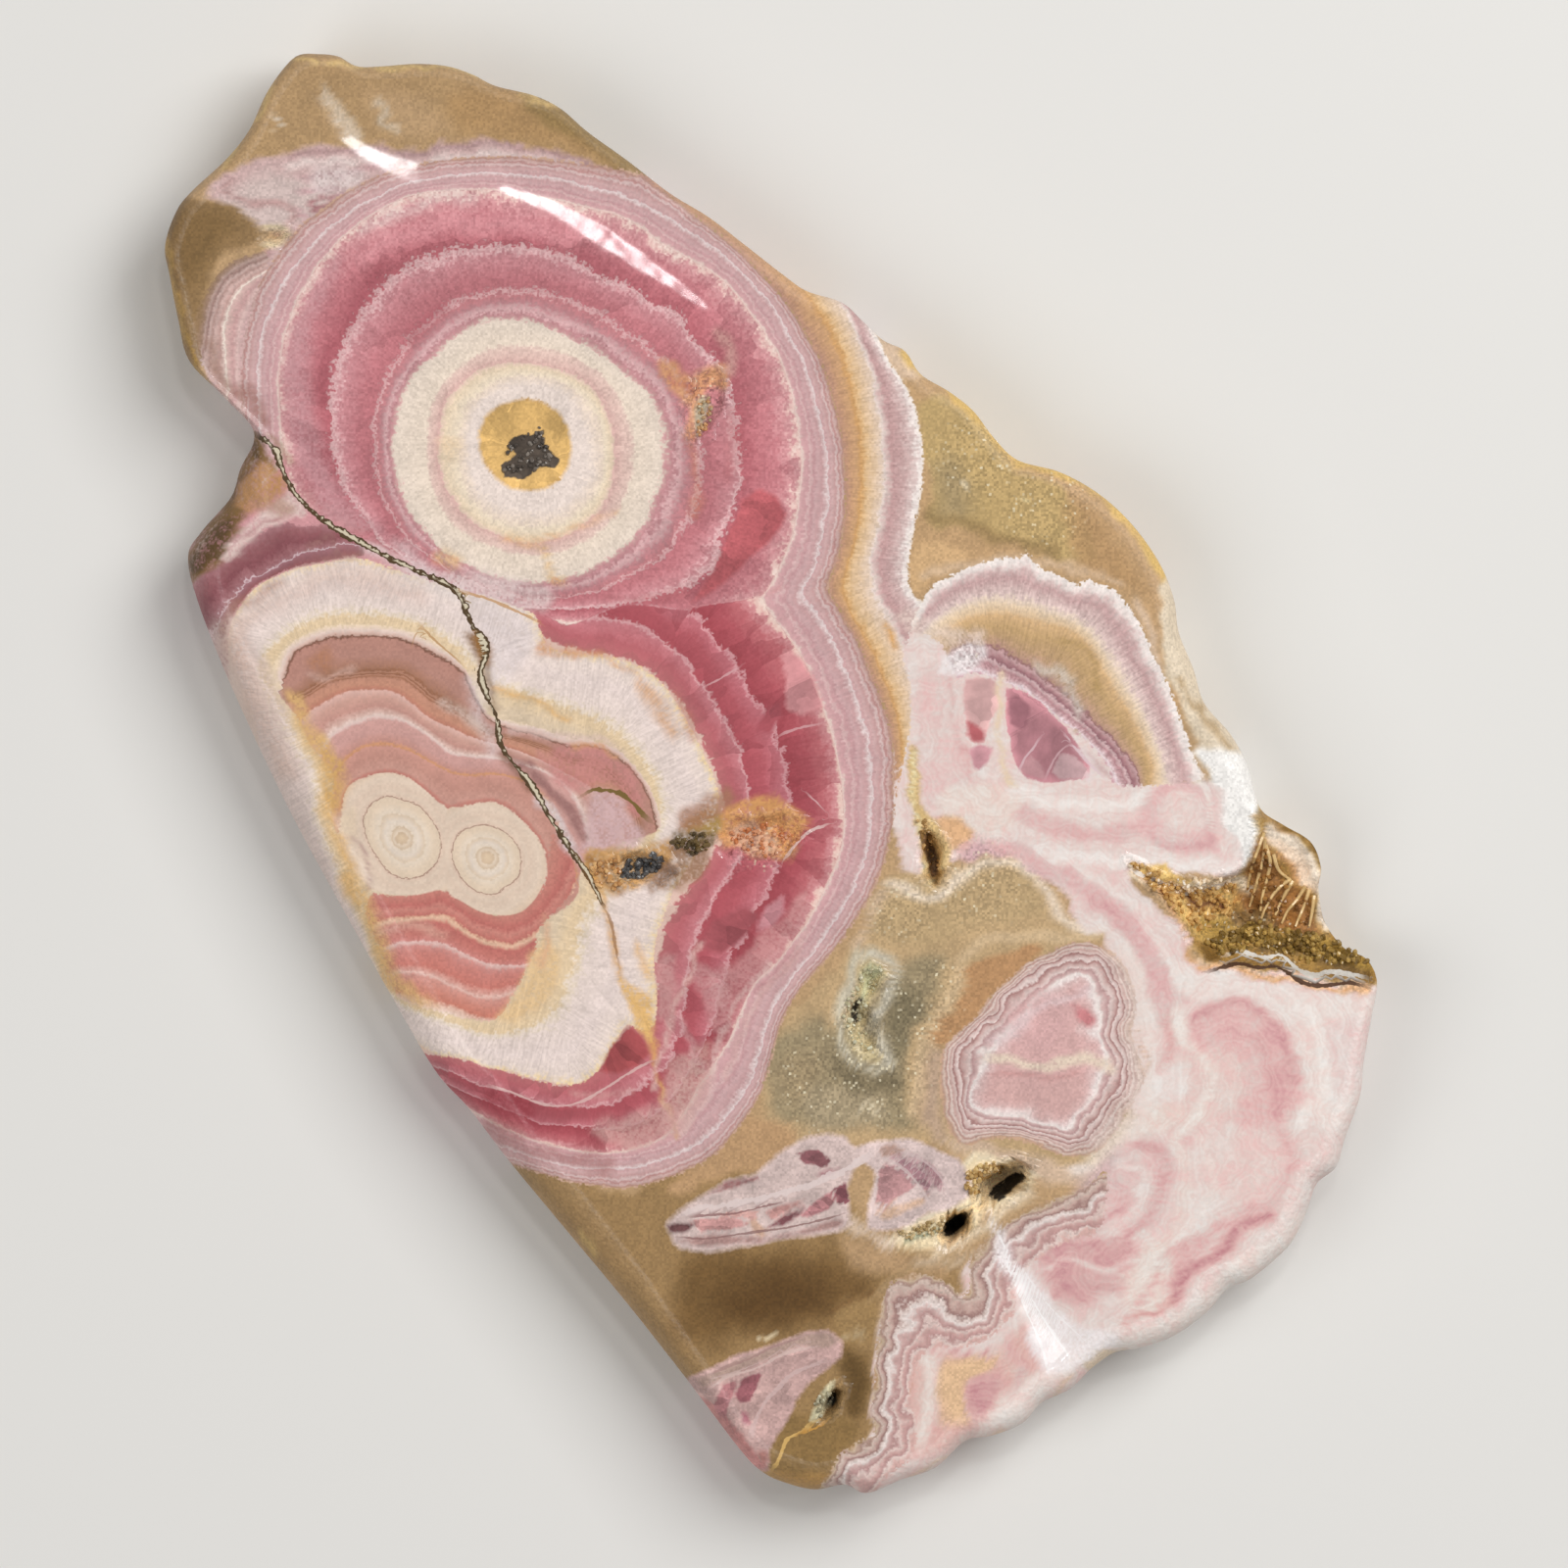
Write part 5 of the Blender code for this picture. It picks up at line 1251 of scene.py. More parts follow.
wash_fill(0xE0BC8A, [565,955, 575,985, 560,1020, 535,1042, 508,1044, 520,1020, 535,995, 548,965], 6, 0.8)
wash_stroke(0xDCA860, [506,704, 530,712, 552,718, 578,732], 5, 5, 0.8)
wash_stroke(0xD29E70, [650,692, 664,712, 678,732, 690,748], 12, 7, 0.75)
wash_stroke(0xBE7A68, [688,712, 698,730, 708,750], 6, 5, 0.7)
wash_stroke(0xB07476, [776,1012, 792,991, 808,970], 8, 6, 0.6)
wash_stroke(0xC68C72, [556,664, 580,669, 606,674], 6, 5, 0.7)
wash_stroke(0xD49C6E, [552,664, 600,670, 640,682], 5, 5, 0.7)
wash_fill(0xC68480, [560,770, 610,768, 640,785, 660,822, 650,826, 625,802, 590,802], 5, 0.8)
wash_stroke(0xD49C6A, [586,766, 606,766, 626,772], 5, 4, 0.8)
wash_fill(0xCEACAC, [598,812, 630,812, 655,838, 652,858, 600,872, 596,845], 5, 0.9)
wash_stroke(0xD6BAB2, [520,746, 548,750, 580,758, 606,756, 630,766], 8, 5, 0.7)
wash_fill(0x986C68, [518,776, 540,782, 566,798, 590,832, 598,862, 584,846, 562,812], 3, 0.9)
wash_stroke(0xCA8C88, [548,772, 570,786, 590,806], 8, 5, 0.7)
wash_fill(0xDAD0D0, [545,812, 562,822, 590,870, 596,885, 575,862], 3, 0.8)
wash_stroke(0xB07854, [322,672, 332,662, 336,676], 12, 7, 0.7)
wash_stroke(0xCEAA9E, [318,686, 338,690, 352,682, 362,680], 6, 4, 0.6)
# Stains and paler flanks in the upper rosette.
wash_fill(0xC29296, [290,420, 292,350, 330,280, 345,270, 320,330, 316,400, 335,480, 385,545, 340,530,
    300,480], 9, 0.7)
wash_stroke(0x96665A, [236,394, 256,406, 272,430], 11, 6, 0.7)
wash_stroke(0x967462, [210,346, 219,368, 232,390], 8, 6, 0.7)
wash_stroke(0xA8806A, [268,511, 284,513, 298,521], 9, 5, 0.7)
wash_stroke(0x947858, [274,446, 286,458, 293,474], 6, 4, 0.6)
wash_stroke(0xA27464, [228,636, 240,616, 262,600, 282,589], 8, 5, 0.55)
# A pale patch under the cap's streak: a painted highlight.
wash_fill(0xDED0CC, [318,172, 350,169, 374,182, 350,195, 322,191], 6, 0.7)
wash_stroke(0x9C4C56, [330,410, 333,370, 350,335, 372,300, 395,270], 9, 7, 0.5)
wash_stroke(0x9E4C56, [420,350, 432,335, 450,322], 9, 7, 0.6)
wash_stroke(0xE2CEC8, [368,236, 400,216, 440,204, 480,200], 9, 7, 0.6)
wash_stroke(0xE0A2A6, [372,262, 400,244, 440,232, 500,228, 560,233, 620,250], 18, 12, 0.45)
wash_stroke(0xAC5A5E, [730,396, 742,420, 748,452, 746,484], 13, 9, 0.5)
wash_stroke(0xDCAC70, [512,548, 535,556, 552,552], 5, 5, 0.8)
wash_stroke(0xDEB270, [556,560, 562,576, 560,590, 572,594], 7, 5, 0.8)
wash_stroke(0xDEB882, [448,560, 462,570], 8, 7, 0.8)
wash_stroke(0xDCAE82, [560,545, 590,538, 615,530, 632,522], 4, 3, 0.7)
wash_fill(0xE4C6A2, [452,446, 468,448, 470,466, 456,470], 6, 0.6)
# Rust around the small pit in the rosette.
wash_fill(0xD49C6C, [674,372, 690,368, 704,384, 722,374, 742,372, 740,398, 722,400, 712,430, 712,452, 700,452,
    704,420, 690,408], 5, 0.85)
wash_stroke(0xB26254, [690,384, 700,392, 704,402], 5, 4, 0.7)
wash_fill(0xACA68C, [710,420, 722,410, 722,436, 714,450], 3, 0.9)
wash_stroke(0xD0A298, [728,334, 742,350, 745,376], 11, 6, 0.75)
wash_stroke(0xB0686C, [620,616, 658,610, 700,606], 8, 5, 0.6)
wash_stroke(0xC48060, [700,450, 712,470, 716,500, 710,522], 8, 6, 0.5)
# The honey pocket, the dark crystal's bed and their orange neighbour.
wash_fill(0xD29860, [730,836, 752,820, 780,813, 800,820, 812,830, 825,844, 812,862, 806,880, 785,880, 760,872,
    735,862], 4)
wash_stroke(0x96624A, [772,877, 796,880, 815,868], 7, 5, 0.7)
wash_fill(0x966C42, [485,641, 494,646, 500,656, 500,666, 494,676, 488,668, 484,654], 4, 0.85)
wash_fill(0xCEA68E, [744,850, 770,846, 790,860, 784,876, 760,874], 4, 0.7)
wash_fill(0xA8884E, [690,850, 706,832, 728,828, 735,850, 722,866, 700,866], 4)
wash_fill(0x766042, [680,856, 700,850, 730,852, 726,870, 706,874, 688,870], 4, 0.9)
wash_fill(0xC49660, [598,888, 612,868, 645,860, 678,862, 686,876, 668,898, 640,910, 620,914, 602,902], 4)
wash_stroke(0x845222, [606,884, 618,892, 632,910], 6, 4, 0.8)
wash_fill(0x926A4A, [676,868, 700,863, 726,868, 726,888, 704,904, 684,914, 662,908, 668,893, 686,884], 4,
    0.85)
wash_fill(0xA4745A, [688,850, 692,826, 716,818, 736,804, 748,814, 736,832, 712,844], 5, 0.8)
# The orange vein that runs down from the fracture.
wash_stroke(0xD4A05C, [604,896, 616,922, 624,946, 630,975, 634,1000, 642,1020, 655,1034, 664,1062, 670,1090,
    680,1122, 690,1160], 5, 4, 0.9)
wash_fill(0xDEB270, [632,1000, 648,1005, 665,1030, 664,1062, 652,1048, 640,1035], 3, 0.9)
wash_stroke(0xDEAE70, [652,966, 658,982, 662,994], 8, 5, 0.7)
# Small agate and ring: cream bar, bluish chalcedony, and a painted highlight at the ring's top left.
wash_stroke(0xE2CEBA, [1008,1078, 1030,1080, 1060,1090, 1095,1086, 1128,1084], 11, 4)
wash_stroke(0xC48C88, [1010,1096, 1040,1098, 1070,1104, 1104,1098], 4, 3, 0.7)
wash_fill(0xD8ACAA, [1030,1030, 1070,1012, 1092,1036, 1080,1066, 1030,1060], 9, 0.7)
wash_fill(0xCEA6A0, [1005,1100, 1060,1108, 1108,1104, 1100,1130, 1050,1136, 1008,1128], 9, 0.6)
wash_stroke(0xE6D4CC, [1140,975, 1154,1000, 1160,1030, 1156,1060, 1164,1098, 1152,1130, 1128,1162], 22, 10,
    0.62)
wash_stroke(0xE0C6C6, [1010,1062, 1040,1044, 1080,1024, 1108,1012], 7, 4, 0.8)
wash_stroke(0xD0C8BC, [1052,674, 1072,684, 1092,702, 1106,726], 8, 5, 0.7)
wash_stroke(0xA68856, [1085,655, 1105,662, 1116,680, 1120,705], 7, 5, 0.7)
# A near-white patch at the ring's top left: a painted highlight.
wash_fill(0xECE4E2, [962,686, 970,664, 990,654, 1006,662, 996,678, 978,690], 4, 0.85)
wash_stroke(0xBE9A9A, [1106,768, 1120,778, 1133,791], 8, 5, 0.7)
wash_stroke(0xE4CCAE, [1018,688, 1021,720, 1021,755, 1028,785, 1034,800], 6, 3, 0.9)
wash_stroke(0xD49C54, [908,642, 915,652, 917,664], 6, 4, 0.9)
wash_stroke(0xE4D6D4, [1100,762, 1116,778, 1118,795], 5, 3, 0.9)
# Pale angular bands in the lower rose.
wash_fill(0xD09C9A, [724,1002, 756,976, 796,936, 834,910, 808,958, 766,998, 736,1028], 4, 0.6)
wash_fill(0x9C4E54, [520,1124, 560,1132, 600,1136, 592,1148, 555,1148, 522,1138], 5, 0.7)
wash_stroke(0xCE9E98, [588,1118, 615,1121, 642,1111], 6, 5, 0.6)
wash_fill(0xCAA096, [706,1072, 728,1066, 724,1090, 712,1118, 696,1138, 690,1118, 700,1096], 6, 0.6)
wash_stroke(0xD6AE9C, [386,955, 405,948, 430,949, 452,956], 10, 6, 0.55)
wash_stroke(0xD6A484, [558,938, 561,962, 552,986], 8, 6, 0.7)
wash_stroke(0xDAB4AC, [713,960, 702,995, 690,1020, 682,1045, 674,1075, 668,1110], 5, 3, 0.8)
wash_stroke(0xD8B6B0, [778,985, 758,1015, 742,1050, 728,1090, 712,1125, 700,1150], 7, 4, 0.8)
wash_stroke(0xD2ACA6, [826,950, 800,985, 778,1020, 760,1060, 742,1100], 6, 4, 0.7)
wash_stroke(0xD2A0A0, [690,1040, 704,1066, 716,1100, 708,1130], 5, 4, 0.7)
wash_fill(0xCEA8A0, [690,1085, 712,1080, 712,1130, 690,1160, 672,1140], 6, 0.6)
wash_fill(0xCC9E98, [606,1152, 640,1140, 672,1130, 692,1140, 676,1160, 645,1168, 615,1168], 7, 0.8)
wash_stroke(0xA06864, [500,1152, 534,1168, 560,1178, 592,1187, 618,1190], 13, 6, 0.6)
wash_fill(0x8C363E, [500,1112, 530,1122, 545,1145, 520,1150, 495,1130], 7, 0.8)
wash_stroke(0xCE9694, [800,600, 784,608, 766,612], 4, 3, 0.6)
wash_stroke(0xA84E57, [688,625, 712,621, 738,618], 5, 4, 0.6)
wash_fill(0xCEA29E, [676,975, 690,985, 684,1030, 672,1040, 667,1005], 5, 0.6)
wash_fill(0xCC9E9C, [706,985, 730,1000, 748,1020, 742,1046, 726,1050, 716,1024, 704,1004], 6, 0.55)
# A pale wedge over the lower polish step: pale cleavage with a painted highlight of its streak.
wash_fill(0xEEE6E5, [1008,1244, 1016,1250, 1042,1290, 1072,1332, 1134,1364, 1106,1392, 1066,1406, 1052,1362,
    1036,1316, 1016,1268], 4, 0.9)

# %% [markdown]
# ## Lines
# The last layer is fine lines: the fracture that runs through the slice, hairlines and veins, and three
# near-white lines that are a painted highlight on the lower polish step. For each point it keeps the distance
# to the nearest line, counted in that line's half widths.

# %% Lines
LINE_REACH = 12.0


def line_layer(name, lines):
    """Keeps (signed distance / half width, distance, strength) to the nearest line, and its colour."""
    nearest, signed = np.full((2, len(at)), 99.0)
    strength, line_tint = np.zeros(len(at)), np.zeros((len(at), 3))
    for colour, width, full, points in lines:
        places = boxed(points, LINE_REACH)
        distance, reached, whole = offset_and_along(at[places], smooth(points, steps=4))
        away = np.abs(distance)
        nearer = (away < nearest[places]) & (away < LINE_REACH)
        chosen = places[nearer]
        nearest[chosen] = away[nearer]
        signed[chosen] = distance[nearer] / (width / 2)
        strength[chosen] = full * eased(np.minimum(reached, whole - reached)[nearer], -6, 14)
        line_tint[chosen] = rgb(colour)
    store(name, np.column_stack([signed, nearest, strength]))
    store_colour(name + "_colour", line_tint)


FRACTURE = [
    262,443, 272,450, 281,460, 286,474, 293,489, 300,502, 312,515, 330,531, 350,544, 372,556, 397,569,
    420,580, 448,592, 463,600, 471,612, 478,628, 485,643, 494,656, 496,668, 491,682, 491,696, 498,712,
    506,731, 509,748, 512,762, 524,778, 538,796, 551,816, 566,842, 582,866, 597,888, 606,905, 616,925,
    624,942, 628,965, 632,985]
OPEN_CRACK = 2.0  # a strength above 1 marks a crack with a pale filling
line_layer("lines_and_glints", [
    (0x544028, 5.6, OPEN_CRACK, pairs(FRACTURE)[:31]),
    (0x6C4E2C, 4.2, OPEN_CRACK, pairs(FRACTURE)[29:33]),
    (0x96683C, 3.0, 0.7, pairs(FRACTURE)[32:]),
    (0x966834, 6.0, 0.9, [485,643, 488,656, 489,668]),
    (0x7A6234, 4.2, 1, [594,811, 602,807, 612,806, 625,807, 636,812, 648,822, 656,832, 664,838]),
    (0xD4AC68, 3.6, 1, [786,1502, 794,1492, 798,1480, 804,1468, 812,1464, 822,1457, 830,1450]),
    (0xCC9648, 3.0, 0.9, [812,1464, 826,1460, 836,1455, 844,1450]),
    (0xDEBCB6, 2.2, 0.7, [668,1082, 655,1087, 640,1096, 625,1106, 610,1115, 596,1123, 580,1128, 560,1128,
     540,1122, 520,1114, 500,1108]),
    (0xD8AAAC, 2.0, 0.7, [716,702, 735,692, 756,680]),
    (0xDCB0B2, 2.0, 0.6, [792,752, 812,744, 838,738]),
    (0xDEB8B8, 2.0, 0.7, [822,808, 835,820, 842,828]),
    (0xE2C4BE, 2.6, 0.8, [800,878, 812,862, 826,848, 848,840]),
    (0xDEC4C8, 2.2, 0.8, [1086,748, 1098,764, 1112,780, 1128,794]),
    (0xDCBEC2, 2.0, 0.7, [1038,790, 1046,774, 1054,764, 1062,752]),
    (0xD6B0B4, 2.0, 0.6, [1066,796, 1074,778, 1082,766, 1094,758]),
    (0xE2D0CC, 6.0, 0.75, [694,1240, 712,1234, 740,1230, 790,1220, 830,1208, 862,1194, 892,1176]),
    (0xD4C0BC, 2.6, 0.6, [894,1180, 912,1186, 930,1200, 942,1216, 950,1232]),
    (0xD2BCBA, 2.2, 0.5, [912,1174, 934,1180, 954,1194, 966,1212, 968,1228]),
    (0x8C6260, 2.2, 0.8, [700,1242, 724,1240, 750,1238, 776,1232, 800,1226]),
    (0x8C6864, 2.0, 0.8, [690,1262, 720,1264, 750,1260, 780,1256, 806,1252, 834,1246, 862,1238]),
    (0xD6BCB4, 3.0, 0.7, [722,1418, 745,1404, 772,1396, 800,1382, 832,1374]),
    (0xD4B8B4, 4.6, 0.6, [766,1470, 774,1442, 790,1420, 812,1400, 842,1388]),
    (0xA27E7A, 2.4, 0.6, [722,1404, 744,1394, 766,1386, 790,1374, 820,1364]),
    (0xC49460, 2.4, 0.8, [470,603, 500,612, 530,625, 552,636]),
    (0xBA8E60, 2.0, 0.8, [428,636, 440,650, 456,664, 472,678]),
    (0xBA8E60, 2.0, 0.7, [434,634, 424,648, 420,660]),
    (0xE8E0D6, 4.0, 0.95, [1150,884, 1172,896, 1196,906, 1212,912, 1236,906, 1262,898]),
    (0xE2DED6, 4.0, 1, [1252,976, 1265,971, 1280,975, 1295,977, 1308,974, 1318,982, 1328,991, 1342,996,
     1358,992, 1376,994, 1396,998]),
    (0x54341C, 3.4, 1, [1232,992, 1248,987, 1266,984, 1288,988, 1302,986, 1316,994, 1332,1004, 1352,1006,
     1374,1003, 1396,1007]),
    (0x3C2E1E, 3.0, 1, [888,1008, 894,1005]),
    # Three near-white lines along the lower polish step: a painted highlight of its streak.
    (0xF8F4F2, 2.4, 0.8, [1018,1258, 1042,1306, 1068,1350, 1094,1388]),
    (0xF8F4F2, 2.0, 0.7, [1024,1282, 1044,1330, 1062,1372, 1070,1402]),
    (0xF6F0EE, 2.0, 0.7, [1040,1290, 1072,1334, 1112,1372]),
])

# %% [markdown]
# ## Finish and growth lines
# Three more numbers go with each point: how rough the stone is (polished on the face, satin on the rolled
# rim, raw in the hollows), the distance to the nearest seam of the pale mass, and how strongly the fine
# growth lines parallel to that seam show. Three others say how sugary the grain is there, which also sets how
# many painted glints its facets get, how pink the painted ground is, from 0 for white to 1 for deep rose, and
# whether the stone is raw. The pale mass also has feathers of crystal that stand straight out from its
# seams, so each point keeps how far along a seam it lies.

# %% Finish and growth lines
GROWTH_SEAMS = [
    [905,1470, 910,1400, 930,1350, 960,1340, 1000,1350, 1014,1310, 1060,1255, 1128,1222],
    [985,866, 1030,868, 1070,886, 1108,906, 1140,938, 1166,968, 1186,1005, 1190,1060, 1188,1120, 1150,1170],
    [1214,1046, 1235,1033, 1262,1027, 1290,1037, 1308,1058, 1318,1095, 1310,1150],
    [1160,1168, 1182,1176, 1190,1190, 1182,1215, 1174,1240, 1130,1290],
    [1150,1356, 1198,1328, 1206,1303, 1242,1278, 1276,1246, 1310,1225, 1330,1180],
    [1030,800, 1100,808, 1180,800, 1226,800, 1240,840, 1215,870, 1150,862, 1050,850],
    [935,690, 985,690, 982,780, 1010,810],
    [215,300, 250,255, 300,200, 380,160, 470,150, 600,172],
]
# Sugary spots: their grain varies in tone, and a few of its grains get a painted glint.
SUGAR_AND_GLINT_SPOTS = [  # (place, reach) of sugary spots, in squares
    (1000, 470, 60), (1070, 520, 60), (1000, 900, 60), (920, 930, 40), (940, 1030, 55), (900, 1100, 66),
    (840, 1100, 70), (870, 1040, 30), (960, 1000, 30), (985, 668, 16), (720, 400, 26), (780, 865, 30),
    (1015, 1200, 24), (935, 1258, 20), (1240, 930, 40), (1300, 960, 50), (640, 890, 30), (960, 1325, 16),
]

NO_SEAM = 400.0  # the distance where no seam is near, in squares
SEAM_GAP = 700  # keeps the feathers of one seam apart from the next one's
FEATHER_SCALE = 0.45
DEEPEST_ROSE = 62  # how much redder than green the deepest rose is

seam_distance, along_seam = np.full(len(at), NO_SEAM), np.zeros(len(at))
for number, seam in enumerate(GROWTH_SEAMS):
    signed, reached, _ = offset_and_along(at, smooth(seam, steps=3))
    nearer = np.abs(signed) < seam_distance
    seam_distance[nearer] = np.abs(signed)[nearer]
    along_seam[nearer] = reached[nearer] + SEAM_GAP * number
pinkness = eased(30 - (ground[:, 1] - ground[:, 2]), 0, 10) * eased(ground[:, 0], 165, 190)
in_body = np.zeros(len(at))
body_places, body_share = area_share(PALE_BODY, 6)
in_body[body_places] = body_share
pinkness *= in_body
hollow_lip = near_hollow(stone_xy[:, 0], stone_xy[:, 1])
rolled = 1 - eased(depth_in(at, to_sheet(*face_edge[::4].T)), 0, 6)
rough = np.where(hollow_lip | ~upper, 1.0, 0.8 * rolled)
sugar_and_glint = np.zeros(len(at))
for spot_x, spot_y, reach in SUGAR_AND_GLINT_SPOTS:
    away = np.hypot(at[:, 0] - spot_x, at[:, 1] - spot_y)
    sugar_and_glint = np.maximum(sugar_and_glint, 1 - eased(away, 0.4 * reach, reach))
store("finish", np.column_stack([rough, seam_distance, pinkness]))
rosiness = (ground[:, 0] - ground[:, 1]) / DEEPEST_ROSE
raw = np.where(in_hollow | hollow_lip, 1.0, 0.0)
BLOCK = [1284,836, 1310,832, 1350,870, 1364,930, 1344,902, 1326,886, 1304,862]  # the smooth block by the bay
block_places, block_share = area_share(BLOCK, 4)
raw[block_places] *= 1 - 0.85 * block_share
store("texture", np.column_stack([sugar_and_glint, rosiness, raw]))
store("feathers", FEATHER_SCALE * np.column_stack([seam_distance, along_seam, np.zeros(len(at))]))
store_colour("underpainting", ground)
store_colour("wash", wash)
print("polished share of the points:", round(float((rough < 0.1).mean()), 2))

# %% [markdown]
# ## The stone's material
# One material reads all the fields. Each family's level goes through its own colour ramp, and its mask lays
# the result over what is already there. The noises are few and shared, because every one costs render time.

# %% Node helpers
def new_material(name):
    material = bpy.data.materials.new(name)
    material.use_nodes = True
    return material, material.node_tree, material.node_tree.nodes["Principled BSDF"]


stone_material, tree, shader = new_material("polished_rhodochrosite")


def node(kind, inputs=(), **settings):
    """A new node: settings are its properties, inputs are (socket, value or output) pairs."""
    new = tree.nodes.new("ShaderNode" + kind)
    for key, value in settings.items():
        setattr(new, key, value)
    for socket, value in dict(inputs).items():
        if isinstance(value, bpy.types.NodeSocket):
            tree.links.new(value, new.inputs[socket])
        else:
            new.inputs[socket].default_value = value
    return new


def maths(operation, *values, clamp=False):
    """One step of arithmetic on numbers or outputs."""
    return node("Math", enumerate(values), operation=operation, use_clamp=clamp).outputs[0]


def scaled(colour, factor):
    return node("VectorMath", {0: colour, "Scale": factor}, operation="SCALE").outputs[0]


def blend(share, under, over):
    """The colour under, with over laid on it."""
    return node("Mix", {0: share, 6: under, 7: over}, data_type="RGBA").outputs[2]


def blend_places(share, under, over):
    return node("Mix", {0: share, 4: under, 5: over}, data_type="VECTOR").outputs[1]


def stepped(value, low, high):
    """0 below low, 1 above high, a straight slope between."""
    return node("MapRange", {0: value, 1: low, 2: high}).outputs[0]


def field(name):
    """The three numbers kept at the points, and the three as one vector."""
    kept = node("Attribute", attribute_name=name).outputs["Vector"]
    parts = node("SeparateXYZ", {0: kept}).outputs
    return parts[0], parts[1], parts[2], kept


def colour_of(name):
    return node("Attribute", attribute_name=name).outputs["Color"]


def noise(scale, detail, output=0):
    return node("TexNoise", {"Vector": coordinates, "Scale": scale, "Detail": detail}).outputs[output]


def ramp(value, stops):
    """A colour ramp; stops are (value, colour)."""
    low, high = stops[0][0], stops[-1][0]
    new = node("ValToRGB", {0: stepped(value, low, high)})
    elements = new.color_ramp.elements
    while len(elements) < len(stops):
        elements.new(0.5)
    for element, (stop, colour) in zip(elements, stops):
        element.position = (stop - low) / (high - low)
        element.color = paint(colour)
    return new.outputs[0]


# %% Shared noises
WOBBLE_SCALE, MOTTLE_SCALE, JAG_SCALE, GRAIN_SCALE = 550.0, 440.0, 2600.0, 5200.0  # cells to the metre
coordinates = node("TexCoord").outputs["Object"]
wobble = maths("SUBTRACT", noise(WOBBLE_SCALE, 1.0), 0.5)
edge_noise = noise(JAG_SCALE, 1.0)
jag = maths("SUBTRACT", edge_noise, 0.5)
jags = node("CombineXYZ", {0: jag, 1: jag, 2: wobble}).outputs[0]
grains = node("VectorMath", {0: coordinates, 1: (GRAIN_SCALE,) * 3, 2: jags},
              operation="MULTIPLY_ADD").outputs[0]
grains = node("VectorMath", {0: grains}, operation="FLOOR").outputs[0]
sugar_parts = node("SeparateXYZ", {0: node("TexWhiteNoise", {"Vector": grains}).outputs["Color"]}).outputs
sugar = maths("SUBTRACT", sugar_parts[0], 0.5)
mottle = maths("SUBTRACT", noise(MOTTLE_SCALE, 2.0), 0.5)

# %% Underpainting with its growth lines
roughness, seam, pink_share, _ = field("finish")
phase = maths("MULTIPLY_ADD", wobble, 34.0, seam)
phase = maths("MULTIPLY_ADD", jag, 7.0, phase)
growth = maths("SINE", maths("MULTIPLY", phase, 0.85))
growth = maths("MULTIPLY_ADD", maths("SINE", maths("MULTIPLY", phase, 0.31)), 0.8, growth)
sugar_and_glint_share, rosy, raw_share, _ = field("texture")
PALE_MASS = [
    (-0.12, 0xFAF5F1), (0.08, 0xF4ECE6), (0.26, 0xECDDD6), (0.42, 0xE6CEC7), (0.58, 0xE4C1BC),
    (0.72, 0xE0B4B0), (0.86, 0xD6A4A3), (1.02, 0xC78F93), (1.20, 0xB67880)]


# %% Families: masks first, then the fibres' own places, then the colours over one another
BARE_WEAVE = (0.05, 0.9, 0.0)  # fibre, grain and glass of the bare ground
masks = []
fibre_places = scaled(coordinates, 2.4 / (SQUARE * MM))  # bare ground has facets of about ten squares
fibre_places = blend_places(pink_share, fibre_places, field("feathers")[3])
weave = blend_places(pink_share, BARE_WEAVE, (0.16, 0.25, 0.0))
for one in families:
    level, depth, _, _ = field(one["name"] + "_bands")
    if one["fray"]:
        depth = maths("MULTIPLY_ADD", jag, 2 * one["fray"], depth)
        depth = maths("MULTIPLY_ADD", sugar, one["fray"], depth)
    share = stepped(depth, -0.9, 0.9)
    masks.append((level, share))
    fibre_places = blend_places(share, fibre_places, field(one["name"] + "_fibres")[3])
    weave = blend_places(share, weave, (one["fibre"], one["grain"], one["glass"]))
weave_parts = node("SeparateXYZ", {0: weave}).outputs

stretched = node("Mapping", {0: fibre_places, 3: (0.06, 0.42, 0.42)}).outputs[0]
streaks = node("TexNoise", {"Vector": stretched, "Scale": 1.0, "Detail": 1.0}).outputs[0]
streak = maths("SUBTRACT", streaks, 0.5)
bend = node("CombineXYZ", {0: wobble, 1: wobble, 2: jag}).outputs[0]
crystal_places = node("Mapping", {0: fibre_places, 3: (0.030, 0.055, 0.055)}).outputs[0]
bent = node("VectorMath", {0: bend, 1: (0.8, 0.8, 0.3), 2: crystal_places},
            operation="MULTIPLY_ADD").outputs[0]
crystals = node("TexVoronoi", {"Vector": bent, "Scale": 1.0}, feature="F1", voronoi_dimensions="2D")
crystal_tone = maths("SUBTRACT", node("SeparateXYZ", {0: crystals.outputs["Color"]}).outputs[0], 0.5)

for source, amount in ((mottle, 0.85), (growth, 0.055), (streak, 0.40), (jag, 0.14), (sugar, 0.05)):
    rosy = maths("MULTIPLY_ADD", source, amount, rosy)
dappled = scaled(colour_of("underpainting"), maths("MULTIPLY_ADD", mottle, 0.10, 1.0))
colour = blend(maths("MULTIPLY", pink_share, 0.80), dappled, ramp(rosy, PALE_MASS))
for one, (level, share) in zip(families, masks):
    for source, amount in ((wobble, 2 * one["waver"]), (jag, 2 * one["ragged"]),
                           (streak, 0.8 * one["ragged"]), (sugar, one["speckle"]),
                           (crystal_tone, 0.22 * one["glass"])):
        if amount:
            level = maths("MULTIPLY_ADD", source, amount, level)
    colour = blend(share, colour, ramp(level, one["colours"]))

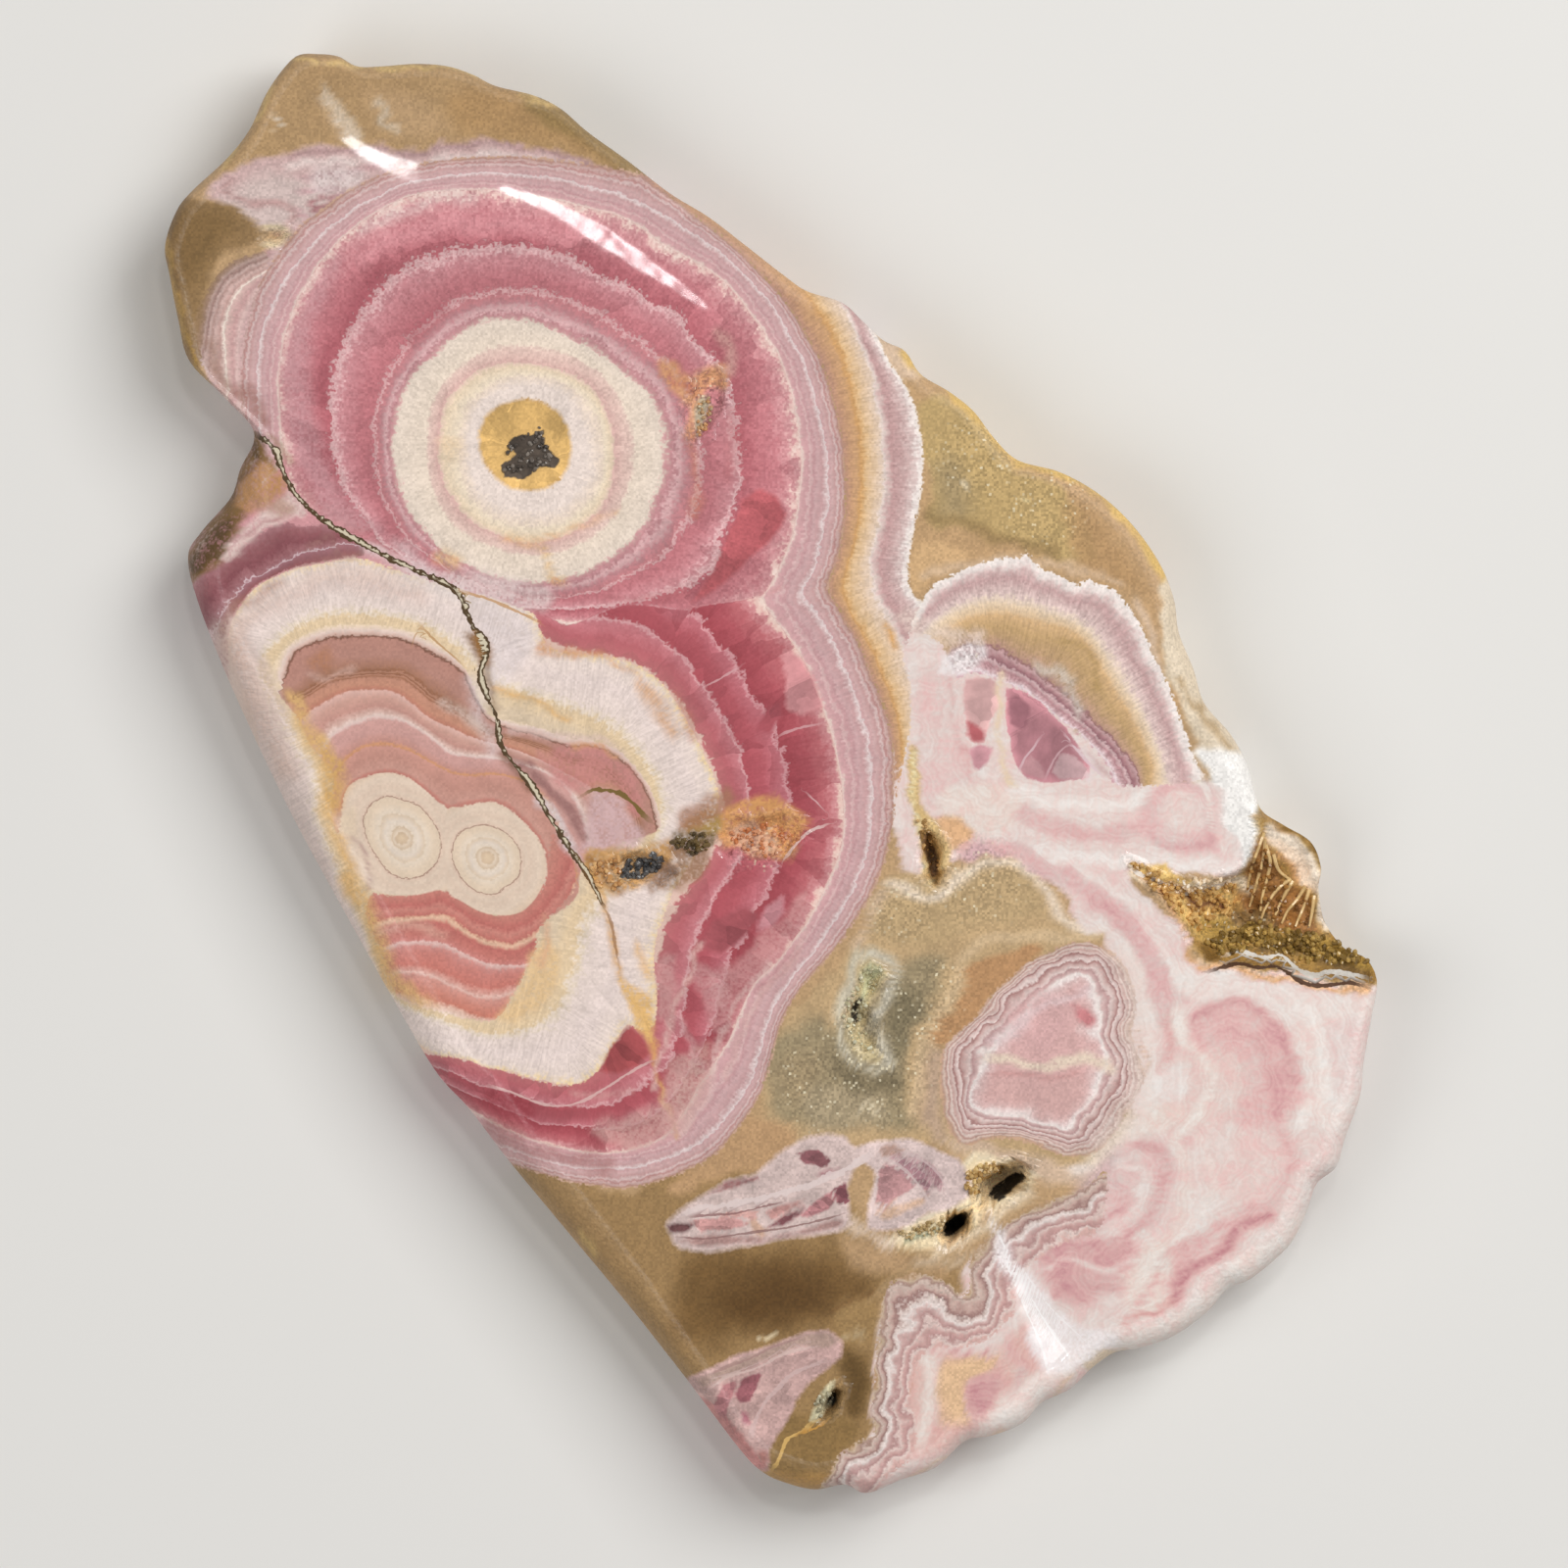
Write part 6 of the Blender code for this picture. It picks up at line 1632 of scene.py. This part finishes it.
# %% Patches with a bright or dark rim, and splinters with the painted shade of the vug mouths
for layer in ("patches", "splinters_and_shade"):
    depth, glass, rim, _ = field(layer)
    depth = maths("MULTIPLY_ADD", jag, 3.2, depth)
    depth = maths("MULTIPLY_ADD", sugar, 0.8, depth)
    depth = maths("MULTIPLY_ADD", wobble, 5.0, depth)
    edge_share = maths("MULTIPLY", stepped(depth, 9.0, 1.0), rim)
    dapple = maths("MULTIPLY_ADD", mottle, 0.7, maths("MULTIPLY_ADD", edge_share, 0.35, 1.0))
    facets = maths("MULTIPLY_ADD", maths("MULTIPLY", crystal_tone, glass), 0.6, dapple)
    patch_colour = scaled(colour_of(layer + "_colour"), facets)
    soft = maths("MULTIPLY_ADD", glass, -2.6, 3.5)
    colour = blend(stepped(depth, maths("MULTIPLY", soft, -1.0), soft), colour, patch_colour)

# %% Washes
wash_attribute = node("Attribute", attribute_name="wash")
broken = maths("ADD", mottle, maths("MULTIPLY_ADD", sugar, 0.4, jag))
broken = maths("MULTIPLY_ADD", broken, 1.1, 0.94, clamp=True)
wash_share = maths("MULTIPLY", wash_attribute.outputs["Alpha"], broken)
under_wash = scaled(colour, maths("SUBTRACT", 1.0, wash_share))
thinned = scaled(wash_attribute.outputs["Color"], broken)
colour = node("VectorMath", {0: under_wash, 1: thinned}, operation="ADD").outputs[0]

# %% Grain, fibres and glassy facets change the tone
red, green, _ = node("SeparateXYZ", {0: colour}).outputs
redness = maths("MULTIPLY", maths("SUBTRACT", red, green), 3.0, clamp=True)
glassiness = maths("MULTIPLY", weave_parts[2], redness)
sugariness = maths("MULTIPLY_ADD", sugar_and_glint_share, 0.9, weave_parts[1])
sugariness = maths("MULTIPLY_ADD", raw_share, 0.9, sugariness)
tone = 1.0
for source, share, amount in ((streak, weave_parts[0], 0.9), (sugar, sugariness, 0.30),
                              (crystal_tone, glassiness, 0.34),
                              (mottle, maths("MULTIPLY_ADD", raw_share, 1.8, 1.0), 0.24)):
    tone = maths("MULTIPLY_ADD", maths("MULTIPLY", source, share), amount, tone)
colour = scaled(colour, tone)

# %% Hairlines and painted highlight lines; a crack has a pale, beaded filling
across, away, strength, _ = field("lines_and_glints")
across = maths("MULTIPLY_ADD", mottle, 1.6, maths("MULTIPLY_ADD", jag, 1.8, across))
swell = maths("MULTIPLY_ADD", maths("MULTIPLY_ADD", wobble, 1.0, mottle), 1.9, 0.88)
inside_line = stepped(maths("SUBTRACT", maths("ABSOLUTE", across), swell), 0.25, 0.0)
inside_line = maths("MULTIPLY", inside_line, maths("LESS_THAN", away, 6.5))
filling = maths("ABSOLUTE", maths("MULTIPLY_ADD", wobble, 1.5, across))
filling = stepped(maths("MULTIPLY_ADD", maths("MULTIPLY_ADD", jag, 1.6, swell), -0.5, filling), 0.05, -0.2)
filling = maths("MULTIPLY", filling, maths("GREATER_THAN", strength, 1.05))
filling = maths("MULTIPLY", filling, stepped(maths("MULTIPLY_ADD", jag, 0.7, mottle), -0.09, 0.04))
FILLING = 0xD6CAB0
line_colour = blend(filling, colour_of("lines_and_glints_colour"), paint(FILLING))
colour = blend(maths("MULTIPLY", inside_line, strength, clamp=True), colour, line_colour)

# %% Painted glints
# Painted highlights: in the sugary spots a few grains are turned near-white, standing in for facets that
# catch the light.
PAINTED_GLINT = 0xF0E4C4
painted_glint = maths("MULTIPLY", maths("MULTIPLY", sugar_and_glint_share, 0.8), stepped(sugar_parts[1], 0.95, 1.0))
colour = blend(painted_glint, colour, paint(PAINTED_GLINT))

# %% Gloss
POLISHED, BROKEN = 0.15, 0.75  # the shader's roughness on the face and in the hollows
STONE_IOR = 1.6
tree.links.new(colour, shader.inputs["Base Color"])
satin = node("MapRange", {0: roughness, 3: POLISHED, 4: BROKEN}).outputs[0]
tree.links.new(satin, shader.inputs["Roughness"])
shader.inputs["IOR"].default_value = STONE_IOR
bump = node("Bump", {"Height": maths("MULTIPLY", edge_noise, roughness), "Distance": 0.0002, "Strength": 0.6})
tree.links.new(bump.outputs[0], shader.inputs["Normal"])
stone_mesh.materials.append(stone_material)
print("material nodes:", len(tree.nodes))

# %% [markdown]
# ## Druse
# Small crystals stand in the open places: gold ones in the bay's crust, dark ones in the honey core, fine
# pale ones in the kidney-shaped pocket. Each is a six-sided prism with a point, 13 points in all. One copy is
# turned by a random matrix for each crystal, and all copies are worked out as one array.

# %% Druse crystals
# (two colours, the area on the sheet, how many, radius and height in millimetres, lean in degrees)
DRUSE = [
    (0xE6BE7A, 0xB4884C, [1152,880, 1190,888, 1205,908, 1262,902, 1268,930, 1225,950, 1200,930], 130, 0.20,
     0.6, 60),
    (0xC4A25A, 0x685024, [1228,960, 1262,950, 1284,938, 1300,946, 1360,958, 1398,982, 1340,984, 1290,966,
     1240,976], 230, 0.22, 0.5, 60),
    (0xAA7A40, 0x68421E, [1276,880, 1292,862, 1312,900, 1334,908, 1342,944, 1272,930], 70, 0.20, 0.4, 70),
    # The palest cluster, on the bay's upper crust, is painted paler than those crystals are, to offset the
    # shade there: painted light.
    (0xFAF0E0, 0xECCCA0, [1150,882, 1200,898, 1262,894, 1262,904, 1205,912, 1170,900], 70, 0.15, 0.4, 60),
    (0x8E847A, 0x443C36, [520,450, 552,434, 560,462, 568,468, 536,484, 512,482], 60, 0.16, 0.3, 70),
    (0x747270, 0x3A3A3C, [634,886, 640,878, 668,872, 678,876, 670,890, 650,898, 636,897], 60, 0.22, 0.5, 70),
    (0xE6BA80, 0xB6804C, [600,888, 615,872, 634,876, 634,900, 625,912, 604,904], 40, 0.18, 0.4, 60),
    (0x78623C, 0x463A28, [682,858, 704,850, 728,850, 722,870, 700,872], 40, 0.18, 0.4, 60),
    (0xD6A484, 0xC4784A, [738,850, 770,838, 800,844, 818,852, 800,876, 765,872], 70, 0.16, 0.35, 60),
    (0xE2DEC2, 0xB8AE8A, [876,988, 898,986, 902,1002, 884,1022, 880,1044, 890,1072, 872,1066, 860,1036,
     868,1006], 70, 0.14, 0.3, 60),
    (0xE2C488, 0xA07842, [988,1196, 1010,1184, 1030,1194, 1008,1206, 996,1222, 984,1216], 60, 0.18, 0.4, 60),
    (0xDEC89E, 0xA88C5C, [912,1258, 940,1250, 968,1240, 962,1256, 930,1266], 50, 0.15, 0.35, 60),
    (0xD6B078, 0x825E30, [936,836, 944,836, 958,862, 960,884, 948,892, 942,866], 36, 0.15, 0.35, 60),
    (0xCE9864, 0xB2A88C, [712,412, 724,404, 728,424, 716,446, 708,440], 30, 0.14, 0.3, 60),
    (0xD8D2B8, 0x82785A, [828,1436, 840,1420, 852,1418, 848,1436, 836,1446], 26, 0.14, 0.3, 60),
]
RIBS = [  # cream fibres that stand in the block beside the bay
    [1290,850, 1284,866, 1278,885, 1275,906],
    [1291,856, 1290,874, 1286,892, 1281,912, 1277,926],
    [1292,862, 1297,880, 1294,898, 1290,914, 1288,930],
    [1319,897, 1308,905, 1299,916, 1292,930, 1289,938],
    [1321,899, 1312,915, 1306,928, 1301,940],
    [1334,905, 1326,918, 1316,930, 1310,943],
    [1338,908, 1334,922, 1328,936, 1324,946],
    [1343,914, 1341,930, 1338,946],
    [1300,872, 1306,888, 1318,898],
]
RIB_RADIUS = 0.16
DRUSE_SEED = 11
CRYSTAL_POINTS = 13
draw = np.random.default_rng(DRUSE_SEED)


def surface_height(x, y):
    """Height of the stone at places in millimetres."""
    return THICKNESS - CROWN * (x * x + y * y) / FACE_REACH**2 - hollow_depth(x, y)


def places_in(points, count):
    """Random places on the sheet inside an outline."""
    points = pairs(points)
    tries = draw.uniform(points.min(axis=0), points.max(axis=0), (12 * count, 2))
    return tries[inside(tries, points)][:count]


def turned(spin, lean, heading):
    """Rotation matrices: a spin about the crystal's own axis, a lean from upright, then a heading."""
    def about(axis, angle):
        cos, sin, one = np.cos(angle), np.sin(angle), np.ones(len(angle))
        rows = np.zeros((len(angle), 3, 3))
        rows[:, axis, axis] = one
        u, v = (axis + 1) % 3, (axis + 2) % 3
        rows[:, u, u], rows[:, v, v], rows[:, u, v], rows[:, v, u] = cos, cos, -sin, sin
        return rows
    return about(2, heading) @ about(0, lean) @ about(2, spin)


def crystal_block(places, radius, height, lean):
    """Copies of one pointed six-sided prism: rings of six points at -0.4 and 0.6 of the height, one point on
    top. Each copy's points are its matrix times the stretched prism, plus its place."""
    count = len(places)
    corner = np.arange(6) * math.pi / 3
    ring = np.stack([np.cos(corner), np.sin(corner)], axis=1)
    shape = np.vstack([np.column_stack([ring, np.full(6, -0.4)]),
                       np.column_stack([ring * 0.9, np.full(6, 0.6)]), [(0, 0, 1)]])
    size = draw.uniform(0.6, 1.3, count)
    stretched = shape[None] * np.stack([size * radius, size * radius, size * height], axis=1)[:, None, :]
    matrices = turned(draw.uniform(0, 2, count), np.radians(draw.uniform(0, lean, count)),
                      draw.uniform(0, 7, count))
    stone_places = to_stone(places)
    middle = np.column_stack([stone_places, surface_height(*stone_places.T)])
    points = np.einsum("nij,nkj->nki", matrices, stretched) + middle[:, None, :]
    sides = [(k, (k + 1) % 6, 6 + (k + 1) % 6, 6 + k) for k in range(6)]
    tips = [(6 + k, 6 + (k + 1) % 6, 12) for k in range(6)]
    faces = [tuple(CRYSTAL_POINTS * n + k for k in face)
             for n in range(count) for face in sides + tips + [(5, 4, 3, 2, 1, 0)]]
    return points.reshape(-1, 3), faces


def rib_block(path, radius, sides=6):
    """A tapering rod along a path: circles of points across it, closed with a point at each end."""
    curve = to_stone(smooth(path, steps=4))
    lift = surface_height(*curve.T) + radius * 0.8
    heading = np.gradient(curve, axis=0)
    heading /= np.linalg.norm(heading, axis=1)[:, None]
    across = np.column_stack([-heading[:, 1], heading[:, 0]])
    share = np.linspace(0, 1, len(curve))
    girth = radius * (1.1 - 0.5 * share)
    turn = np.arange(sides) * 2 * math.pi / sides
    flat = curve[:, None, :] + across[:, None, :] * (girth[:, None] * np.cos(turn))[:, :, None]
    high = lift[:, None] + girth[:, None] * np.sin(turn)
    points = np.concatenate([flat, high[:, :, None]], axis=2).reshape(-1, 3)
    faces = []
    for n in range(len(curve) - 1):
        for k in range(sides):
            a, b = n * sides + k, n * sides + (k + 1) % sides
            faces.append((a, a + sides, b + sides, b))
    last = (len(curve) - 1) * sides
    return points, faces + [tuple(range(sides)), tuple(range(last + sides - 1, last - 1, -1))]


blocks = []
for bright, dark, area, count, radius, height, lean in DRUSE:
    points, faces = crystal_block(places_in(area, count), radius, height, lean)
    share = np.repeat(draw.uniform(0, 1, len(points) // CRYSTAL_POINTS), CRYSTAL_POINTS)[:, None]
    blocks.append((points, faces, rgb(bright) * share + rgb(dark) * (1 - share)))
RIB_CREAM = 0xE2C086
for path in RIBS:
    points, faces = rib_block(path, RIB_RADIUS)
    blocks.append((points, faces, np.tile(rgb(RIB_CREAM), (len(points), 1))))
all_faces, first = [], 0
for points, faces, _ in blocks:
    all_faces += [tuple(first + k for k in face) for face in faces]
    first += len(points)
druse_mesh = bpy.data.meshes.new("druse_crystals")
druse_mesh.from_pydata((np.vstack([points for points, _, _ in blocks]) * MM).tolist(), [], all_faces)
store_colour("crystal_colour", np.vstack([tints for _, _, tints in blocks]), druse_mesh)
druse = bpy.data.objects.new("druse_crystals", druse_mesh)
bpy.context.scene.collection.objects.link(druse)
druse_material, tree, shader = new_material("open_crystals")
tree.links.new(colour_of("crystal_colour"), shader.inputs["Base Color"])
shader.inputs["Roughness"].default_value = 0.22
shader.inputs["IOR"].default_value = STONE_IOR
druse_mesh.materials.append(druse_material)
print("druse:", len(blocks), "clusters,", len(all_faces), "faces")

# %% [markdown]
# ## Floor, lights and camera
# A polished face is a mirror as well as a picture. The lamps stand well to the side, so that the camera,
# which looks straight down, sees the colours and not the lamps, and two small lamps higher up light the low
# steps in the polish and the rolled rim as bright streaks.

# %% Floor, lights and camera
FLOOR_SIZE = 1.2
FLOOR_GREY = 0xE2E0DC
floor_material = bpy.data.materials.new("pale_floor")
floor_material.use_nodes = True
floor_shader = floor_material.node_tree.nodes["Principled BSDF"]
floor_shader.inputs["Base Color"].default_value = paint(FLOOR_GREY)
floor_shader.inputs["Roughness"].default_value = 0.8
corners = np.array([(-1, -1, 0), (1, -1, 0), (1, 1, 0), (-1, 1, 0)]) * FLOOR_SIZE / 2
floor_mesh = bpy.data.meshes.new("floor")
floor_mesh.from_pydata(corners.tolist(), [], [(0, 1, 2, 3)])
floor_mesh.materials.append(floor_material)
floor = bpy.data.objects.new("floor", floor_mesh)
bpy.context.scene.collection.objects.link(floor)


def aimed(thing, place, target=(0, 0, 0)):
    """Puts a light or camera at a place and turns it to look at another."""
    thing.location = place
    thing.rotation_euler = (Vector(target) - Vector(place)).to_track_quat("-Z", "Y").to_euler()


def softbox(name, place, size, watts):
    lamp = bpy.data.lights.new(name, "AREA")
    lamp.size = size
    lamp.energy = watts
    box = bpy.data.objects.new(name, lamp)
    bpy.context.scene.collection.objects.link(box)
    aimed(box, place)
    return box


softbox("key_softbox", (0.42, 0.30, 0.62), 0.50, 4.6)
softbox("fill_softbox", (-0.50, -0.20, 0.62), 0.55, 2.2).visible_glossy = False
softbox("upper_glint", (0.068, 0.333, 1.10), 0.10, 0.9)
softbox("lower_glint", (0.306, 0.072, 1.10), 0.10, 0.22)
world = bpy.data.worlds.new("studio")
bpy.context.scene.world = world
world.use_nodes = True
world.node_tree.nodes["Background"].inputs[0].default_value = (1, 1, 1, 1)
world.node_tree.nodes["Background"].inputs[1].default_value = 0.22
bpy.context.scene.view_settings.view_transform = "Standard"

CAMERA_HEIGHT = 1.2
SENSOR = 36.0
frame_centre = to_stone([FRAME_SQUARES / 2] * 2)[0] * MM
frame_width = FRAME_SQUARES * SQUARE * MM
camera_data = bpy.data.cameras.new("camera")
camera_data.sensor_width = SENSOR
camera_data.lens = SENSOR * (CAMERA_HEIGHT - THICKNESS * MM) / frame_width
camera_data.clip_start = 0.01
camera = bpy.data.objects.new("camera", camera_data)
camera.location = (*frame_centre, CAMERA_HEIGHT)
bpy.context.scene.collection.objects.link(camera)
bpy.context.scene.camera = camera
print("lens", round(camera_data.lens, 1), "mm")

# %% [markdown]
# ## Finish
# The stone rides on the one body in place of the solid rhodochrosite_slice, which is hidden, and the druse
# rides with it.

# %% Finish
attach(stone, "root")
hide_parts("rhodochrosite_slice")
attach(druse, "root")
